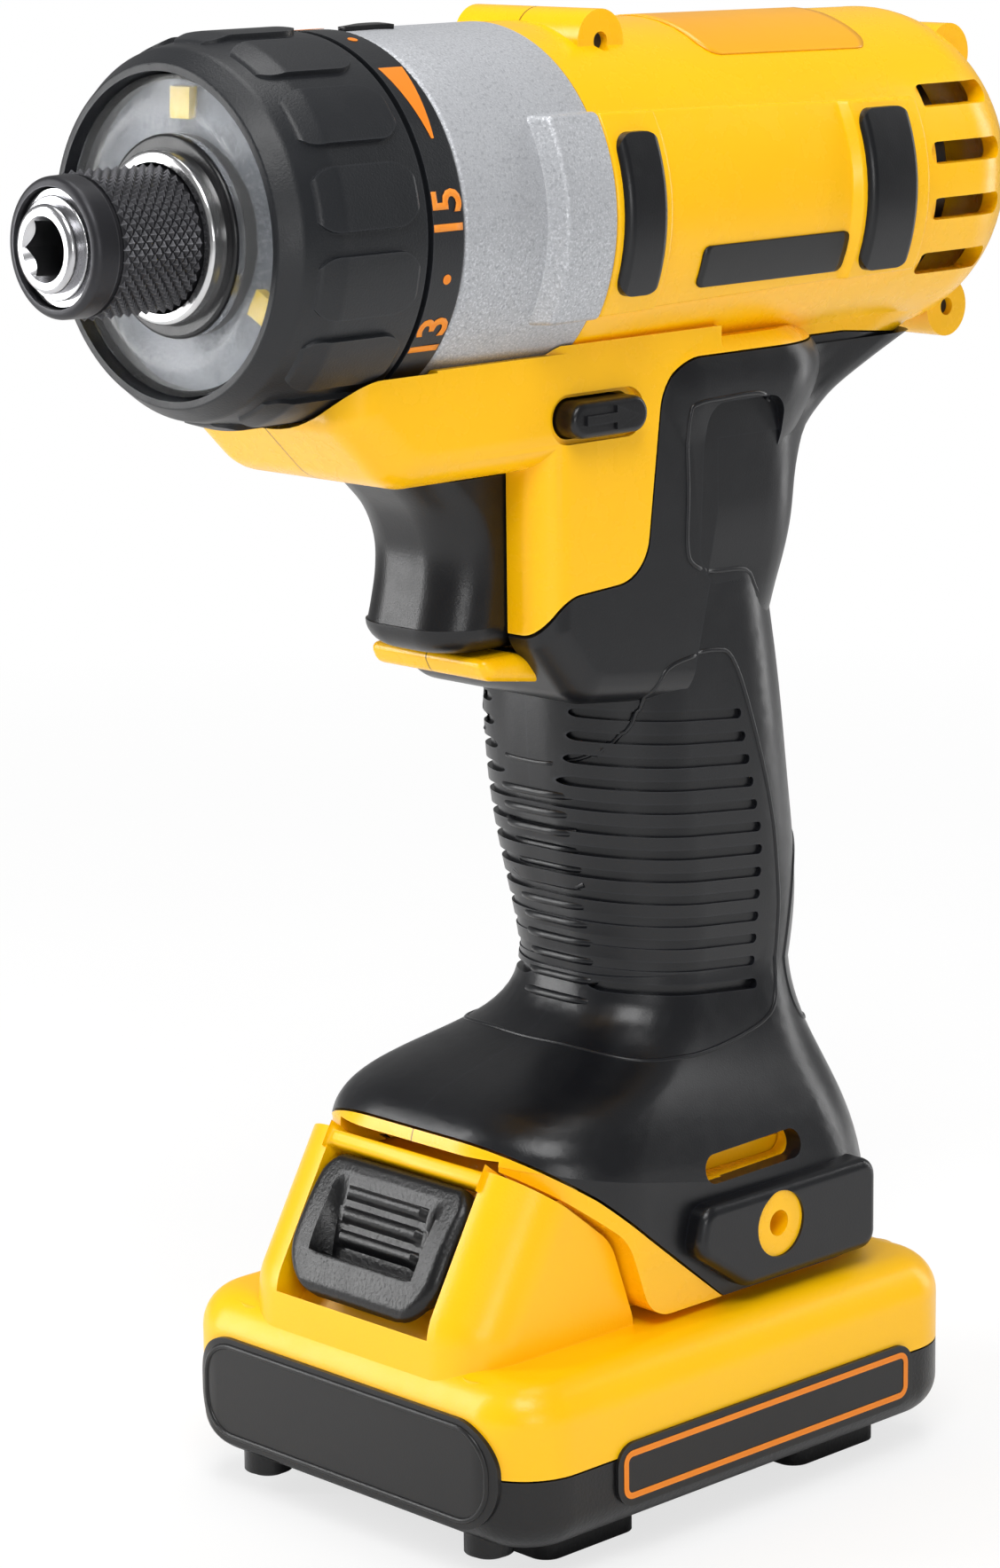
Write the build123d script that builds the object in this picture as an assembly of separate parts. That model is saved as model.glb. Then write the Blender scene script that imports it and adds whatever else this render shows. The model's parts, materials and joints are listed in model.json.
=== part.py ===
from build123d import *
import math
import os

# Frame: +X towards the nose, +Y to the tool's left, +Z up, millimetres.
# The tool stands on the pads under its battery pack.

# Lengths along the spindle axis
AXIS_HEIGHT = 168.5
NOSE_REACH = 18.0
COLLAR_LENGTH = 27.5
CASING_LENGTH = 28.0
BARREL_LENGTH = 81.5
MOUTH_REACH = 4.0

# Shells and skins
COLLAR_RADIUS = 22.9
COLLAR_PAD_RISE = 0.7
COLLAR_PADS = 14
CASING_RADIUS = 22.8
BARREL_RADIUS = 22.7
BARREL_BOWL = 15.5
CHEEK_RISE = 1.5
WALL = 2.3
GRIP_THICKNESS = 1.8
SEAM = 0.25

# Fits
RUN_GAP = 0.3
SHAFT_GAP = 0.03
SEAT_GAP = 0.05

# Spindle and bit holder
HEX_ACROSS_FLATS = 6.35
HEX_DEPTH = 25.0
SPINDLE_RADIUS = 5.2
SLEEVE_RADIUS = 8.35
SLEEVE_LENGTH = 18.2
SLEEVE_TRAVEL = 3.0
LENS_RADIUS = 18.9

# Gear train
GEAR_MODULE = 0.7
SUN_TEETH = 15
PLANET_TEETH = 15
PRESSURE_ANGLE = 25.0
TOOTH_ADDENDUM = 0.8
TOOTH_DEDENDUM = 1.1
TOOTH_BACKLASH = 0.16
PLANETS = 3
PLANET_WIDTH = 7.5
PIN_RADIUS = 2.0
CARRIER_THICKNESS = 3.0
CARRIER_RADIUS = 14.0
FIRST_RING_LENGTH = 10.6
SECOND_RING_LENGTH = 14.4
RING_RADIUS = 18.5
GEARBOX_DEPTH = 18.0
PLATE_THICKNESS = 3.0
CLUTCH_WALL = 7.8
CLUTCH_PINS = 6
NUT_LENGTH = 5.0
NUT_TRAVEL = 6.0

# Motor
MOTOR_RADIUS = 17.7
MOTOR_LENGTH = 44.0
CAN_WALL = 1.6
MOTOR_SHAFT_RADIUS = 1.6

# Handle: height, centre behind the casing joint, half depth, half width
HANDLE_SECTIONS = [
    (56.0, -26.0, 19.0, 16.0),
    (64.0, -26.5, 17.8, 14.4),
    (78.0, -26.0, 19.2, 15.7),
    (90.0, -23.9, 19.8, 16.1),
    (104.0, -22.4, 19.5, 16.0),
    (116.0, -21.3, 18.7, 15.5),
    (133.0, -22.2, 20.0, 16.0),
    (151.0, -23.0, 21.0, 16.0),
]
HANDLE_FLAT = 2.4
BODY_HALF_WIDTH = 16.8
RIBS = 13
RIB_START = 65.6
RIB_PITCH = 3.1
RIB_GROOVE = 1.3
RIB_DEPTH = 0.55
THUMB_DEPTH = 0.6

# Housing screws
SCREW_RADIUS = 1.1
SCREW_HEAD_RADIUS = 2.4
BARREL_BOSSES = 3

# Trigger and direction selector
TRIGGER_HALF_WIDTH = 9.6
TRIGGER_TRAVEL = 6.0
SELECTOR_LENGTH = 13.3
SELECTOR_HEIGHT = 4.6
SELECTOR_PROUD = 2.5
SELECTOR_TRAVEL = 3.0

# Foot and battery pack
FOOT_HALF_WIDTH = 25.5
FOOT_BOTTOM = 27.8
RAIL_HEIGHT = 34.4
CHANNEL_TOP = 45.4
CHANNEL_HALF_WIDTH = 20.4
RAIL_GAP_HALF_WIDTH = 17.4
PACK_LENGTH = 83.0
PACK_HALF_WIDTH = 33.0
PACK_CORNER = 9.0
PACK_SHOULDER = 26.5
PACK_WALL = 1.6
PAD_HEIGHT = 3.5
TRAY_SPLIT = 14.5
HUMP_HALF_WIDTH = 22.5
CELL_RADIUS = 9.0
CELL_LENGTH = 65.0
CELL_PITCH = 18.9
TONGUE_ROOM_HALF_WIDTH = 14.0
TERMINAL_DEPTH = 4.4
BLADE_LENGTH = 9.0
BLADE_THICKNESS = 0.8
LATCH_HALF_WIDTH = 13.8
LATCH_TRAVEL = 2.5
HOOK_HOLE_RADIUS = 1.75

# Stations along the axis
overall_length = NOSE_REACH + COLLAR_LENGTH + CASING_LENGTH + BARREL_LENGTH
nose_x = overall_length / 2
collar_front = nose_x - NOSE_REACH
collar_back = collar_front - COLLAR_LENGTH
joint_x = collar_back - CASING_LENGTH
rear_x = joint_x - BARREL_LENGTH
mouth_x = joint_x + MOUTH_REACH
gearbox_back = joint_x - GEARBOX_DEPTH
first_ring_back = gearbox_back + PLATE_THICKNESS
second_ring_back = first_ring_back + FIRST_RING_LENGTH + SEAT_GAP
second_ring_front = second_ring_back + SECOND_RING_LENGTH
clutch_wall_back = second_ring_front + 0.2
clutch_wall_front = clutch_wall_back + CLUTCH_WALL
holder_back = collar_front - 7.1
nose_tube_front = holder_back - 0.1
motor_front = gearbox_back
motor_back = motor_front - MOTOR_LENGTH
pack_front = joint_x + 31.0
pack_back = pack_front - PACK_LENGTH
bore_radius = RING_RADIUS + SEAT_GAP
barrel_bore = BARREL_RADIUS - WALL
tool_axis = Axis((0, 0, AXIS_HEIGHT), (1, 0, 0))


def face_xz(*corners):
    """A face on the centre plane; each corner is (x, z) or (x, z, rounding)."""
    points = [corner[:2] for corner in corners]
    rounding = [corner[2] if len(corner) > 2 else 0 for corner in corners]
    return Plane.XZ * make_face(FilletPolyline(*points, radius=rounding, close=True))


def slab(y_from, y_to, *corners):
    """A side outline carried across the tool from y_from to y_to."""
    return Pos(0, y_to, 0) * extrude(face_xz(*corners), amount=y_to - y_from)


def both_sides(shape):
    """The shape and its mirror image on the other side of the tool."""
    return shape + mirror(shape, Plane.XZ)


def turned(*corners):
    """A solid turned about the spindle axis; each corner is (x, radius, rounding)."""
    raised = [(corner[0], AXIS_HEIGHT + corner[1], *corner[2:]) for corner in corners]
    return revolve(face_xz(*raised), tool_axis)


def tube(x_from, x_to, outer, inner=0.0):
    """A plain ring or rod on the spindle axis."""
    return turned((x_from, inner), (x_to, inner), (x_to, outer), (x_from, outer))


def around_axis(shape, count, start=0.0):
    """Copies of a shape spread evenly about the spindle axis."""
    copies = [shape.rotate(tool_axis, start + 360 * n / count) for n in range(count)]
    return Compound(children=[solid for copy in copies for solid in copy.solids()])


def rod_y(x, z, radius, y_from, y_to):
    """A round bar that runs across the tool."""
    bar = Cylinder(radius, y_to - y_from, align=(Align.CENTER, Align.CENTER, Align.MIN))
    return Pos(x, y_from, z) * Rot(-90, 0, 0) * bar


def rod_x(x_from, x_to, y, z, radius):
    """A round bar that runs along the tool."""
    bar = Cylinder(radius, x_to - x_from, align=(Align.CENTER, Align.CENTER, Align.MIN))
    return Pos(x_from, y, z) * Rot(0, 90, 0) * bar


def rod_z(x, y, radius, z_from, z_to):
    """An upright round bar."""
    bar = Cylinder(radius, z_to - z_from, align=(Align.CENTER, Align.CENTER, Align.MIN))
    return Pos(x, y, z_from) * bar


def block(x_from, x_to, y_from, y_to, z_from, z_to):
    """A box between the stated limits."""
    size = (x_to - x_from, y_to - y_from, z_to - z_from)
    return Pos(x_from, y_from, z_from) * Box(*size, align=(Align.MIN,) * 3)


def coil_x(x_from, x_to, y, z, radius, wire_radius, turns):
    """A compression spring along the tool between two faces."""
    height = x_to - x_from - 2 * wire_radius
    start = (x_from + wire_radius, y, z)
    path = Helix(height / turns, height, radius, center=start, direction=(1, 0, 0))
    return sweep(Plane(path @ 0, z_dir=path % 0) * Circle(wire_radius), path, is_frenet=True)


def cable(radius, bend, *points):
    """A round wire through the points with the same bend at each corner."""
    path = FilletPolyline(*points, radius=bend)
    return sweep(Plane(path @ 0, z_dir=path % 0) * Circle(radius), path)


# Spindle, bit sleeve and nose


def output_spindle():
    shaft_back = second_carrier_front()
    shaft = turned(
        (shaft_back, 0),
        (nose_x, 0),
        (nose_x, SPINDLE_RADIUS, 0.7),
        (collar_front - 1.7, SPINDLE_RADIUS),
        (collar_front - 1.7, SPINDLE_RADIUS + 1.4),
        (collar_front - 4.5, SPINDLE_RADIUS + 1.4),
        (collar_front - 4.5, SPINDLE_RADIUS),
        (shaft_back, SPINDLE_RADIUS),
    )
    mouth = Plane(origin=(nose_x, 0, AXIS_HEIGHT), x_dir=(0, 1, 0), z_dir=(-1, 0, 0))
    corner_radius = HEX_ACROSS_FLATS / math.sqrt(3)
    socket = extrude(mouth * RegularPolygon(corner_radius, 6), amount=HEX_DEPTH)
    lead_in = turned(
        (nose_x, 0),
        (nose_x, corner_radius + 0.2),
        (nose_x - 1.2, HEX_ACROSS_FLATS / 2 - 0.1),
        (nose_x - 1.2, 0),
    )
    ball_hole = rod_z(detent_x(), 0, 1.3, AXIS_HEIGHT, AXIS_HEIGHT + 8)
    return shaft - socket - lead_in - ball_hole


def detent_x():
    return collar_front + 3.0


def detent_ball():
    return Pos(detent_x(), 0, AXIS_HEIGHT + 4.1) * Sphere(1.25)


def sleeve_front():
    return nose_x - 1.3


def sleeve_shoulder():
    return sleeve_front() - 10.2


def bit_sleeve():
    back = sleeve_front() - SLEEVE_LENGTH
    bore = SPINDLE_RADIUS + 0.2
    cup = SPINDLE_RADIUS + 1.9
    return turned(
        (back, bore),
        (sleeve_shoulder(), bore),
        (sleeve_shoulder(), cup),
        (sleeve_front(), cup),
        (sleeve_front(), SLEEVE_RADIUS - 0.1, 0.9),
        (sleeve_front() - 3.2, SLEEVE_RADIUS),
        (sleeve_front() - 3.2, SLEEVE_RADIUS - 0.35),
        (sleeve_front() - 3.9, SLEEVE_RADIUS - 0.35),
        (sleeve_front() - 3.9, SLEEVE_RADIUS),
        (back, SLEEVE_RADIUS, 0.4),
    )


def sleeve_clip():
    """The washer and the snap ring that hold the sleeve's spring."""
    middle = sleeve_front() - 0.9
    return turned(
        (middle - 1.0, SPINDLE_RADIUS),
        (middle + 0.7, SPINDLE_RADIUS),
        (middle + 0.7, SPINDLE_RADIUS + 0.9, 0.2),
        (middle, SPINDLE_RADIUS + 0.9),
        (middle, SPINDLE_RADIUS + 1.6),
        (middle - 1.0, SPINDLE_RADIUS + 1.6),
    )


def sleeve_spring():
    return coil_x(sleeve_shoulder(), sleeve_front() - 1.9, 0, AXIS_HEIGHT, SPINDLE_RADIUS + 0.9, 0.4, 4.5)


def hub_bore():
    return SLEEVE_RADIUS + 0.55


def lens_holder():
    hub = hub_bore() + 3.1
    return turned(
        (holder_back, hub_bore()),
        (holder_back + 6.4, hub_bore()),
        (holder_back + 6.4, hub, 0.5),
        (holder_back + 1.4, hub),
        (holder_back + 1.4, LENS_RADIUS),
        (holder_back, LENS_RADIUS),
    )


def nose_ring():
    back = holder_back + 6.4
    return turned(
        (back, hub_bore()),
        (back + 2.0, hub_bore()),
        (back + 2.0, hub_bore() + 1.3, 0.7),
        (back, hub_bore() + 1.6),
    )


def led_board():
    back = holder_back + 1.4
    return tube(back, back + 1.2, LENS_RADIUS - 0.8, hub_bore() + 3.15)


def leds():
    back = holder_back + 2.6
    chip = block(back, back + 1.0, -1.7, 1.7, AXIS_HEIGHT + 13.8, AXIS_HEIGHT + 17.2)
    return around_axis(chip, 3)


def led_lens():
    back = holder_back + 1.4
    inner = hub_bore() + 3.15
    return turned(
        (back, LENS_RADIUS - 0.7),
        (back + 2.8, LENS_RADIUS - 0.7),
        (back + 2.8, inner),
        (back + 4.4, inner),
        (back + 5.0, (LENS_RADIUS + inner) / 2, 6.0),
        (back + 4.2, LENS_RADIUS),
        (back, LENS_RADIUS),
    )


# Torque collar and clutch


def torque_collar():
    back = collar_back + RUN_GAP
    opening = LENS_RADIUS + 0.45
    keep_back = holder_back - 2.5
    body = turned(
        (back, bore_inside_collar()),
        (keep_back, bore_inside_collar()),
        (keep_back, hub_bore() + 3.5),
        (keep_back + 2.0, hub_bore() + 3.5),
        (keep_back + 2.0, opening),
        (collar_front, opening),
        (collar_front, opening + 0.9, 0.4),
        (collar_front - 2.5, COLLAR_RADIUS - 0.9, 2.0),
        (collar_front - 7.5, COLLAR_RADIUS, 6.0),
        (back + 6.2, COLLAR_RADIUS),
        (back + 6.2, COLLAR_RADIUS - 0.8),
        (back + 5.4, COLLAR_RADIUS - 0.8),
        (back + 5.4, COLLAR_RADIUS + 0.1),
        (back, COLLAR_RADIUS, 0.5),
    )
    pad_front = collar_front - 2.6
    pad_back = back + 7.4
    ring = turned(
        (pad_back, COLLAR_RADIUS - 1.5),
        (pad_front - 1.6, COLLAR_RADIUS - 1.5),
        (pad_front - 1.6, COLLAR_RADIUS - 0.3, 1.2),
        (pad_front - 5.0, COLLAR_RADIUS + COLLAR_PAD_RISE, 4.0),
        (pad_back, COLLAR_RADIUS + COLLAR_PAD_RISE, 0.8),
    )
    width = 2 * math.pi * COLLAR_RADIUS / COLLAR_PADS - 2.6
    pill = SlotOverall(pad_front - pad_back - 1.0, width)
    pill = Pos((pad_front + pad_back) / 2 - 0.5, 0, AXIS_HEIGHT) * pill
    pad = ring & extrude(pill, amount=COLLAR_RADIUS + 4)
    key_low = AXIS_HEIGHT + nut_radius() - 1.4
    key_high = AXIS_HEIGHT + bore_inside_collar() + 0.3
    key = block(keep_back - 13.2, keep_back, -1.6, 1.6, key_low, key_high)
    for n in range(COLLAR_PADS):
        body = body + pad.rotate(tool_axis, 360 * n / COLLAR_PADS)
    for n in range(4):
        body = body + key.rotate(tool_axis, 90 * n)
    return body


def bore_inside_collar():
    return LENS_RADIUS + 1.2


def nose_tube_radius():
    return hub_bore() + 4.6


def nut_radius():
    return bore_inside_collar() - 0.4


def nut_front():
    return holder_back - 5.4


def clutch_nut():
    ring = tube(nut_front() - NUT_LENGTH, nut_front(), nut_radius(), nose_tube_radius() + RUN_GAP)
    rim = AXIS_HEIGHT + nut_radius()
    way = block(nut_front() - 20, nut_front() + 1, -1.9, 1.9, rim - 1.7, rim + 2)
    for n in range(4):
        ring = ring - way.rotate(tool_axis, 90 * n)
    return ring


def washer_back():
    return clutch_wall_front + 0.5


def clutch_spring():
    middle = (nose_tube_radius() + bore_inside_collar()) / 2
    return coil_x(washer_back() + 1.5, nut_front() - NUT_LENGTH, 0, AXIS_HEIGHT, middle, 1.1, 5.0)


def clutch_pin_orbit():
    return RING_RADIUS - 2.6


def clutch_pins():
    """The pins that hold the second ring gear, and the washer that presses them."""
    pin = rod_x(clutch_wall_back - 0.15, washer_back(), 0, AXIS_HEIGHT + clutch_pin_orbit(), 1.95)
    pins = around_axis(fillet(pin.edges(), 0.6), CLUTCH_PINS, 30)
    washer = tube(washer_back(), washer_back() + 1.5, RING_RADIUS, nose_tube_radius() + 0.2)
    return Compound(children=[*pins.solids(), washer.solid()])


# Gearbox casing


def gearbox_casing():
    skirt = CASING_RADIUS
    spigot = barrel_bore - SEAT_GAP
    pocket = RING_RADIUS + 0.4
    lip = bore_inside_collar() - RUN_GAP
    tube_bore = SPINDLE_RADIUS + 2.8
    body = turned(
        (gearbox_back, bore_radius),
        (clutch_wall_back, bore_radius),
        (clutch_wall_back, tube_bore),
        (nose_tube_front, tube_bore),
        (nose_tube_front, hub_bore() + 3.1),
        (holder_back - 2.9, hub_bore() + 3.1),
        (holder_back - 2.9, nose_tube_radius()),
        (clutch_wall_front, nose_tube_radius()),
        (clutch_wall_front, pocket),
        (collar_back + 3.5, pocket),
        (collar_back + 3.5, lip),
        (collar_back, lip),
        (collar_back, skirt - 0.3, 0.8),
        (collar_back - 6, skirt),
        (mouth_x + SEAM, skirt),
        (mouth_x + SEAM, spigot),
        (gearbox_back, spigot),
    )
    pin_hole = rod_x(clutch_wall_back - 1, clutch_wall_front + 1, 0, AXIS_HEIGHT + clutch_pin_orbit(), 2.05)
    for n in range(CLUTCH_PINS):
        body = body - pin_hole.rotate(tool_axis, 30 + 360 * n / CLUTCH_PINS)
    rib = turned(
        (mouth_x + SEAM, skirt - 1),
        (mouth_x + 11.4, skirt - 1),
        (mouth_x + 9.0, skirt + 2.2, 1.2),
        (mouth_x + SEAM, skirt + 1.8, 0.8),
    )
    rib = rib & block(mouth_x, mouth_x + 20, 0, skirt + 5, AXIS_HEIGHT - 12.6, AXIS_HEIGHT + 12.6)
    ends = rib.faces().filter_by(Axis.Z).edges()
    rib = fillet(ends.filter_by(lambda edge: edge.center().Y > skirt - 4 and edge.length > 5), 1.0)
    x, z, half = boss_places()[0]
    screw_slot = block(x - 1.6, x + 1.6, -half, half, z - 4, z + 4)
    return body + both_sides(rib) - screw_slot


def bearing_bushes():
    """Plain bearings of the spindle and of the motor shaft."""
    outer = SPINDLE_RADIUS + 2.8
    inner = SPINDLE_RADIUS + SHAFT_GAP
    shaft_inner = MOTOR_SHAFT_RADIUS + SHAFT_GAP
    bushes = [
        tube(clutch_wall_back + 0.8, clutch_wall_front, outer, inner),
        tube(nose_tube_front - 7, nose_tube_front, outer, inner),
        tube(motor_back - 5.6, motor_back - 1.6, 4.6, shaft_inner),
        tube(motor_front - 3.4, motor_front + 0.8, 4.6, shaft_inner),
    ]
    return Compound(children=[bush.solid() for bush in bushes])


def gearbox_plate():
    return tube(gearbox_back, first_ring_back, RING_RADIUS, 5.2)


# Gear train


def gear_face(teeth, tip, root, backlash):
    """An involute gear outline with one tooth on the local X axis."""
    pitch = GEAR_MODULE * teeth / 2
    base = pitch * math.cos(math.radians(PRESSURE_ANGLE))
    pressure = math.radians(PRESSURE_ANGLE)
    half_tooth = math.pi / (2 * teeth) - backlash / (2 * pitch) + math.tan(pressure) - pressure

    def flank(radius, side):
        roll = math.acos(min(1.0, base / radius))
        angle = half_tooth - (math.tan(roll) - roll)
        return radius, side * angle

    def point(polar, turn):
        radius, angle = polar
        return radius * math.cos(angle + turn), radius * math.sin(angle + turn)

    low = max(root, base)
    middle = (low + tip) / 2
    edges = []
    step = 2 * math.pi / teeth
    for n in range(teeth):
        turn = n * step
        foot_angle = flank(low, 1)[1]
        right_foot = point((root, -foot_angle), turn)
        left_foot = point((root, foot_angle), turn)
        next_foot = point((root, -foot_angle), turn + step)
        valley = point((root, 0), turn + step / 2)
        right = [point(flank(radius, -1), turn) for radius in (low, middle, tip)]
        left = [point(flank(radius, 1), turn) for radius in (tip, middle, low)]
        if root < base:
            edges.append(Line(right_foot, right[0]))
            edges.append(Line(left[2], left_foot))
        edges.append(ThreePointArc(*right))
        edges.append(ThreePointArc(right[2], point((tip, 0), turn), left[0]))
        edges.append(ThreePointArc(*left))
        edges.append(ThreePointArc(left_foot, valley, next_foot))
    return make_face(edges)


def gear_plane(x, radius=0.0):
    """A plane across the spindle axis whose local X points up from the axis."""
    return Plane(origin=(x, 0, AXIS_HEIGHT + radius), x_dir=(0, 0, 1), z_dir=(1, 0, 0))


def outer_gear(teeth, x_from, x_to, radius=0.0):
    pitch = GEAR_MODULE * teeth / 2
    tip = pitch + TOOTH_ADDENDUM * GEAR_MODULE
    root = pitch - TOOTH_DEDENDUM * GEAR_MODULE
    outline = gear_face(teeth, tip, root, TOOTH_BACKLASH)
    return extrude(gear_plane(x_from, radius) * outline, amount=x_to - x_from)


def ring_gear(x_from, x_to):
    teeth = SUN_TEETH + 2 * PLANET_TEETH
    pitch = GEAR_MODULE * teeth / 2
    tip = pitch + TOOTH_DEDENDUM * GEAR_MODULE
    root = pitch - TOOTH_ADDENDUM * GEAR_MODULE
    space = gear_face(teeth, tip, root, -TOOTH_BACKLASH)
    inside = extrude(gear_plane(x_from) * space, amount=x_to - x_from)
    return tube(x_from, x_to, RING_RADIUS, 0) - inside


def orbit_radius():
    return GEAR_MODULE * (SUN_TEETH + PLANET_TEETH) / 2


def first_planet_back():
    return first_ring_back + 1.0


def first_carrier_back():
    return first_planet_back() + PLANET_WIDTH + 0.4


def second_planet_back():
    return first_carrier_back() + CARRIER_THICKNESS + 0.6


def second_carrier_front():
    return second_planet_back() + PLANET_WIDTH + 0.4 + CARRIER_THICKNESS


def planet(back, index):
    gear = outer_gear(PLANET_TEETH, back, back + PLANET_WIDTH, orbit_radius())
    bore = rod_x(back - 1, back + PLANET_WIDTH + 1, 0, AXIS_HEIGHT + orbit_radius(), PIN_RADIUS + SHAFT_GAP)
    return (gear - bore).rotate(tool_axis, 360 * index / PLANETS)


def carrier(disc_back):
    """A planet carrier disc with its pins pointing back."""
    body = tube(disc_back, disc_back + CARRIER_THICKNESS, CARRIER_RADIUS, 0)
    pin = rod_x(disc_back - PLANET_WIDTH - 0.2, disc_back, 0, AXIS_HEIGHT + orbit_radius(), PIN_RADIUS)
    for n in range(PLANETS):
        body = body + pin.rotate(tool_axis, 360 * n / PLANETS)
    return body


def first_carrier():
    disc = carrier(first_carrier_back())
    front = first_carrier_back() + CARRIER_THICKNESS
    return disc + outer_gear(SUN_TEETH, front, second_planet_back() + PLANET_WIDTH)


def second_carrier():
    return carrier(second_carrier_front() - CARRIER_THICKNESS)


def motor_pinion():
    back = first_planet_back() - 0.4
    front = first_planet_back() + PLANET_WIDTH
    return outer_gear(SUN_TEETH, back, front) - tube(back - 1, front + 1, MOTOR_SHAFT_RADIUS)


# Motor


def motor_can():
    outer = MOTOR_RADIUS
    inner = MOTOR_RADIUS - CAN_WALL
    body = turned(
        (motor_back, inner),
        (motor_front - CAN_WALL, inner),
        (motor_front - CAN_WALL, 4.6),
        (motor_front, 4.6),
        (motor_front, outer, 1.2),
        (motor_back, outer),
    )
    slot = block(motor_front - 10, motor_front - 5, -3, 3, AXIS_HEIGHT + inner - 2, AXIS_HEIGHT + outer + 2)
    for n in range(4):
        body = body - slot.rotate(tool_axis, 45 + 90 * n)
    return body


def motor_magnets():
    inner = MOTOR_RADIUS - CAN_WALL - 2.9
    ring = tube(motor_back + 8, motor_front - 12, MOTOR_RADIUS - CAN_WALL, inner)
    gap = block(rear_x, joint_x, -4.5, 4.5, AXIS_HEIGHT - 30, AXIS_HEIGHT + 30)
    return ring - gap


def motor_end_cap():
    outer = MOTOR_RADIUS - 0.2
    body = turned(
        (motor_back - 5.6, 4.6),
        (motor_back, 4.6),
        (motor_back, outer),
        (motor_back - 3.0, outer, 0.8),
        (motor_back - 5.6, outer - 6, 0.8),
    )
    slot = block(motor_back - 9, motor_back + 1, -2.6, 2.6, AXIS_HEIGHT + 9, AXIS_HEIGHT + 13)
    for n in range(4):
        body = body - slot.rotate(tool_axis, 45 + 90 * n)
    return body


def commutator_span():
    return motor_back + 0.6, motor_back + 8.6


def carbon_brushes():
    front = commutator_span()[1]
    brush = block(motor_back, front - 1.4, -1.8, 1.8, AXIS_HEIGHT + 4.9, AXIS_HEIGHT + 11.5)
    return around_axis(brush, 2, 90)


def motor_shaft():
    return tube(motor_back - 7.0, first_planet_back() + PLANET_WIDTH, MOTOR_SHAFT_RADIUS)


def armature_span():
    return motor_back + 12.0, motor_front - 14.0


def armature_radius():
    return MOTOR_RADIUS - CAN_WALL - 3.4


def armature_core():
    back, front = armature_span()
    body = tube(back, front, armature_radius(), MOTOR_SHAFT_RADIUS)
    throat = block(back - 1, front + 1, -0.7, 0.7, AXIS_HEIGHT + 6, AXIS_HEIGHT + 20)
    pocket = block(back - 1, front + 1, -2.2, 2.2, AXIS_HEIGHT + 5.5, AXIS_HEIGHT + 10.2)
    for n in range(5):
        body = body - (throat + pocket).rotate(tool_axis, 36 + 72 * n)
    return body


def armature_windings():
    """Copper in the five slots, with the rounded end turns at both ends."""
    back, front = armature_span()
    body = tube(back - 2.6, back, 9.8, 3.4) + tube(front, front + 2.6, 9.8, 3.4)
    bar = block(back, front, -2.1, 2.1, AXIS_HEIGHT + 5.7, AXIS_HEIGHT + 9.8)
    for n in range(5):
        body = body + bar.rotate(tool_axis, 36 + 72 * n)
    return body


def commutator():
    back, front = commutator_span()
    body = tube(back, front, 4.8, MOTOR_SHAFT_RADIUS)
    slit = block(back + 0.8, front + 1, -0.25, 0.25, AXIS_HEIGHT + 4.2, AXIS_HEIGHT + 6)
    for n in range(5):
        body = body - slit.rotate(tool_axis, 72 * n)
    return body


def cooling_fan():
    back = armature_span()[1] + 3.4
    disc = tube(back, back + 1.2, armature_radius() - 0.5, MOTOR_SHAFT_RADIUS)
    body = disc + tube(back, back + 5, 3.6, MOTOR_SHAFT_RADIUS)
    blade = block(back + 1.2, back + 5, -0.5, 0.5, AXIS_HEIGHT + 4.5, AXIS_HEIGHT + armature_radius() - 0.6)
    for n in range(9):
        body = body + blade.rotate(tool_axis, 40 * n)
    return body


# Outer body, built at any inset so that skins and walls follow one form


def barrel(inset):
    return turned(
        (mouth_x, 0),
        (mouth_x, BARREL_RADIUS - inset),
        (rear_x + inset, BARREL_RADIUS - 1.2 - inset, BARREL_BOWL - inset),
        (rear_x + inset, 0),
    )


def handle(inset):
    sections = []
    for height, centre, half_depth, half_width in HANDLE_SECTIONS:
        corner = half_width - HANDLE_FLAT - inset
        outline = RectangleRounded(2 * (half_depth - inset), 2 * (half_width - inset), corner)
        sections.append(Pos(joint_x + centre, 0, height) * outline)
    return loft(sections)


def side_edges(shape, least_y, **limits):
    """Edges near a shape's two sides, kept by limits on the middle of each edge."""

    def wanted(edge):
        place = edge.center()
        return (
            abs(place.Y) > least_y
            and limits.get("x_from", -math.inf) < place.X < limits.get("x_to", math.inf)
            and limits.get("z_from", -math.inf) < place.Z < limits.get("z_to", math.inf)
        )

    return shape.edges().filter_by(wanted)


def web(inset):
    """The saddle that carries the back of the handle up to the barrel."""
    body = slab(
        -12.5 + inset,
        12.5 - inset,
        (joint_x - 30, AXIS_HEIGHT - 48),
        (joint_x - 40.5 + inset, AXIS_HEIGHT - 46),
        (joint_x - 43.5 + inset, AXIS_HEIGHT - 30, 17 + inset),
        (joint_x - 66 + inset, AXIS_HEIGHT - 20.4 + inset),
        (joint_x - 66 + inset, AXIS_HEIGHT - 16),
        (joint_x - 30, AXIS_HEIGHT - 16),
    )
    return fillet(side_edges(body, 10, x_to=joint_x - 38, z_to=AXIS_HEIGHT - 19), 5.5)


def casing_room():
    """The space that the gearbox casing fills ahead of the barrel."""
    return tube(mouth_x, collar_back + 0.2, CASING_RADIUS + SEAM)


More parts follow.
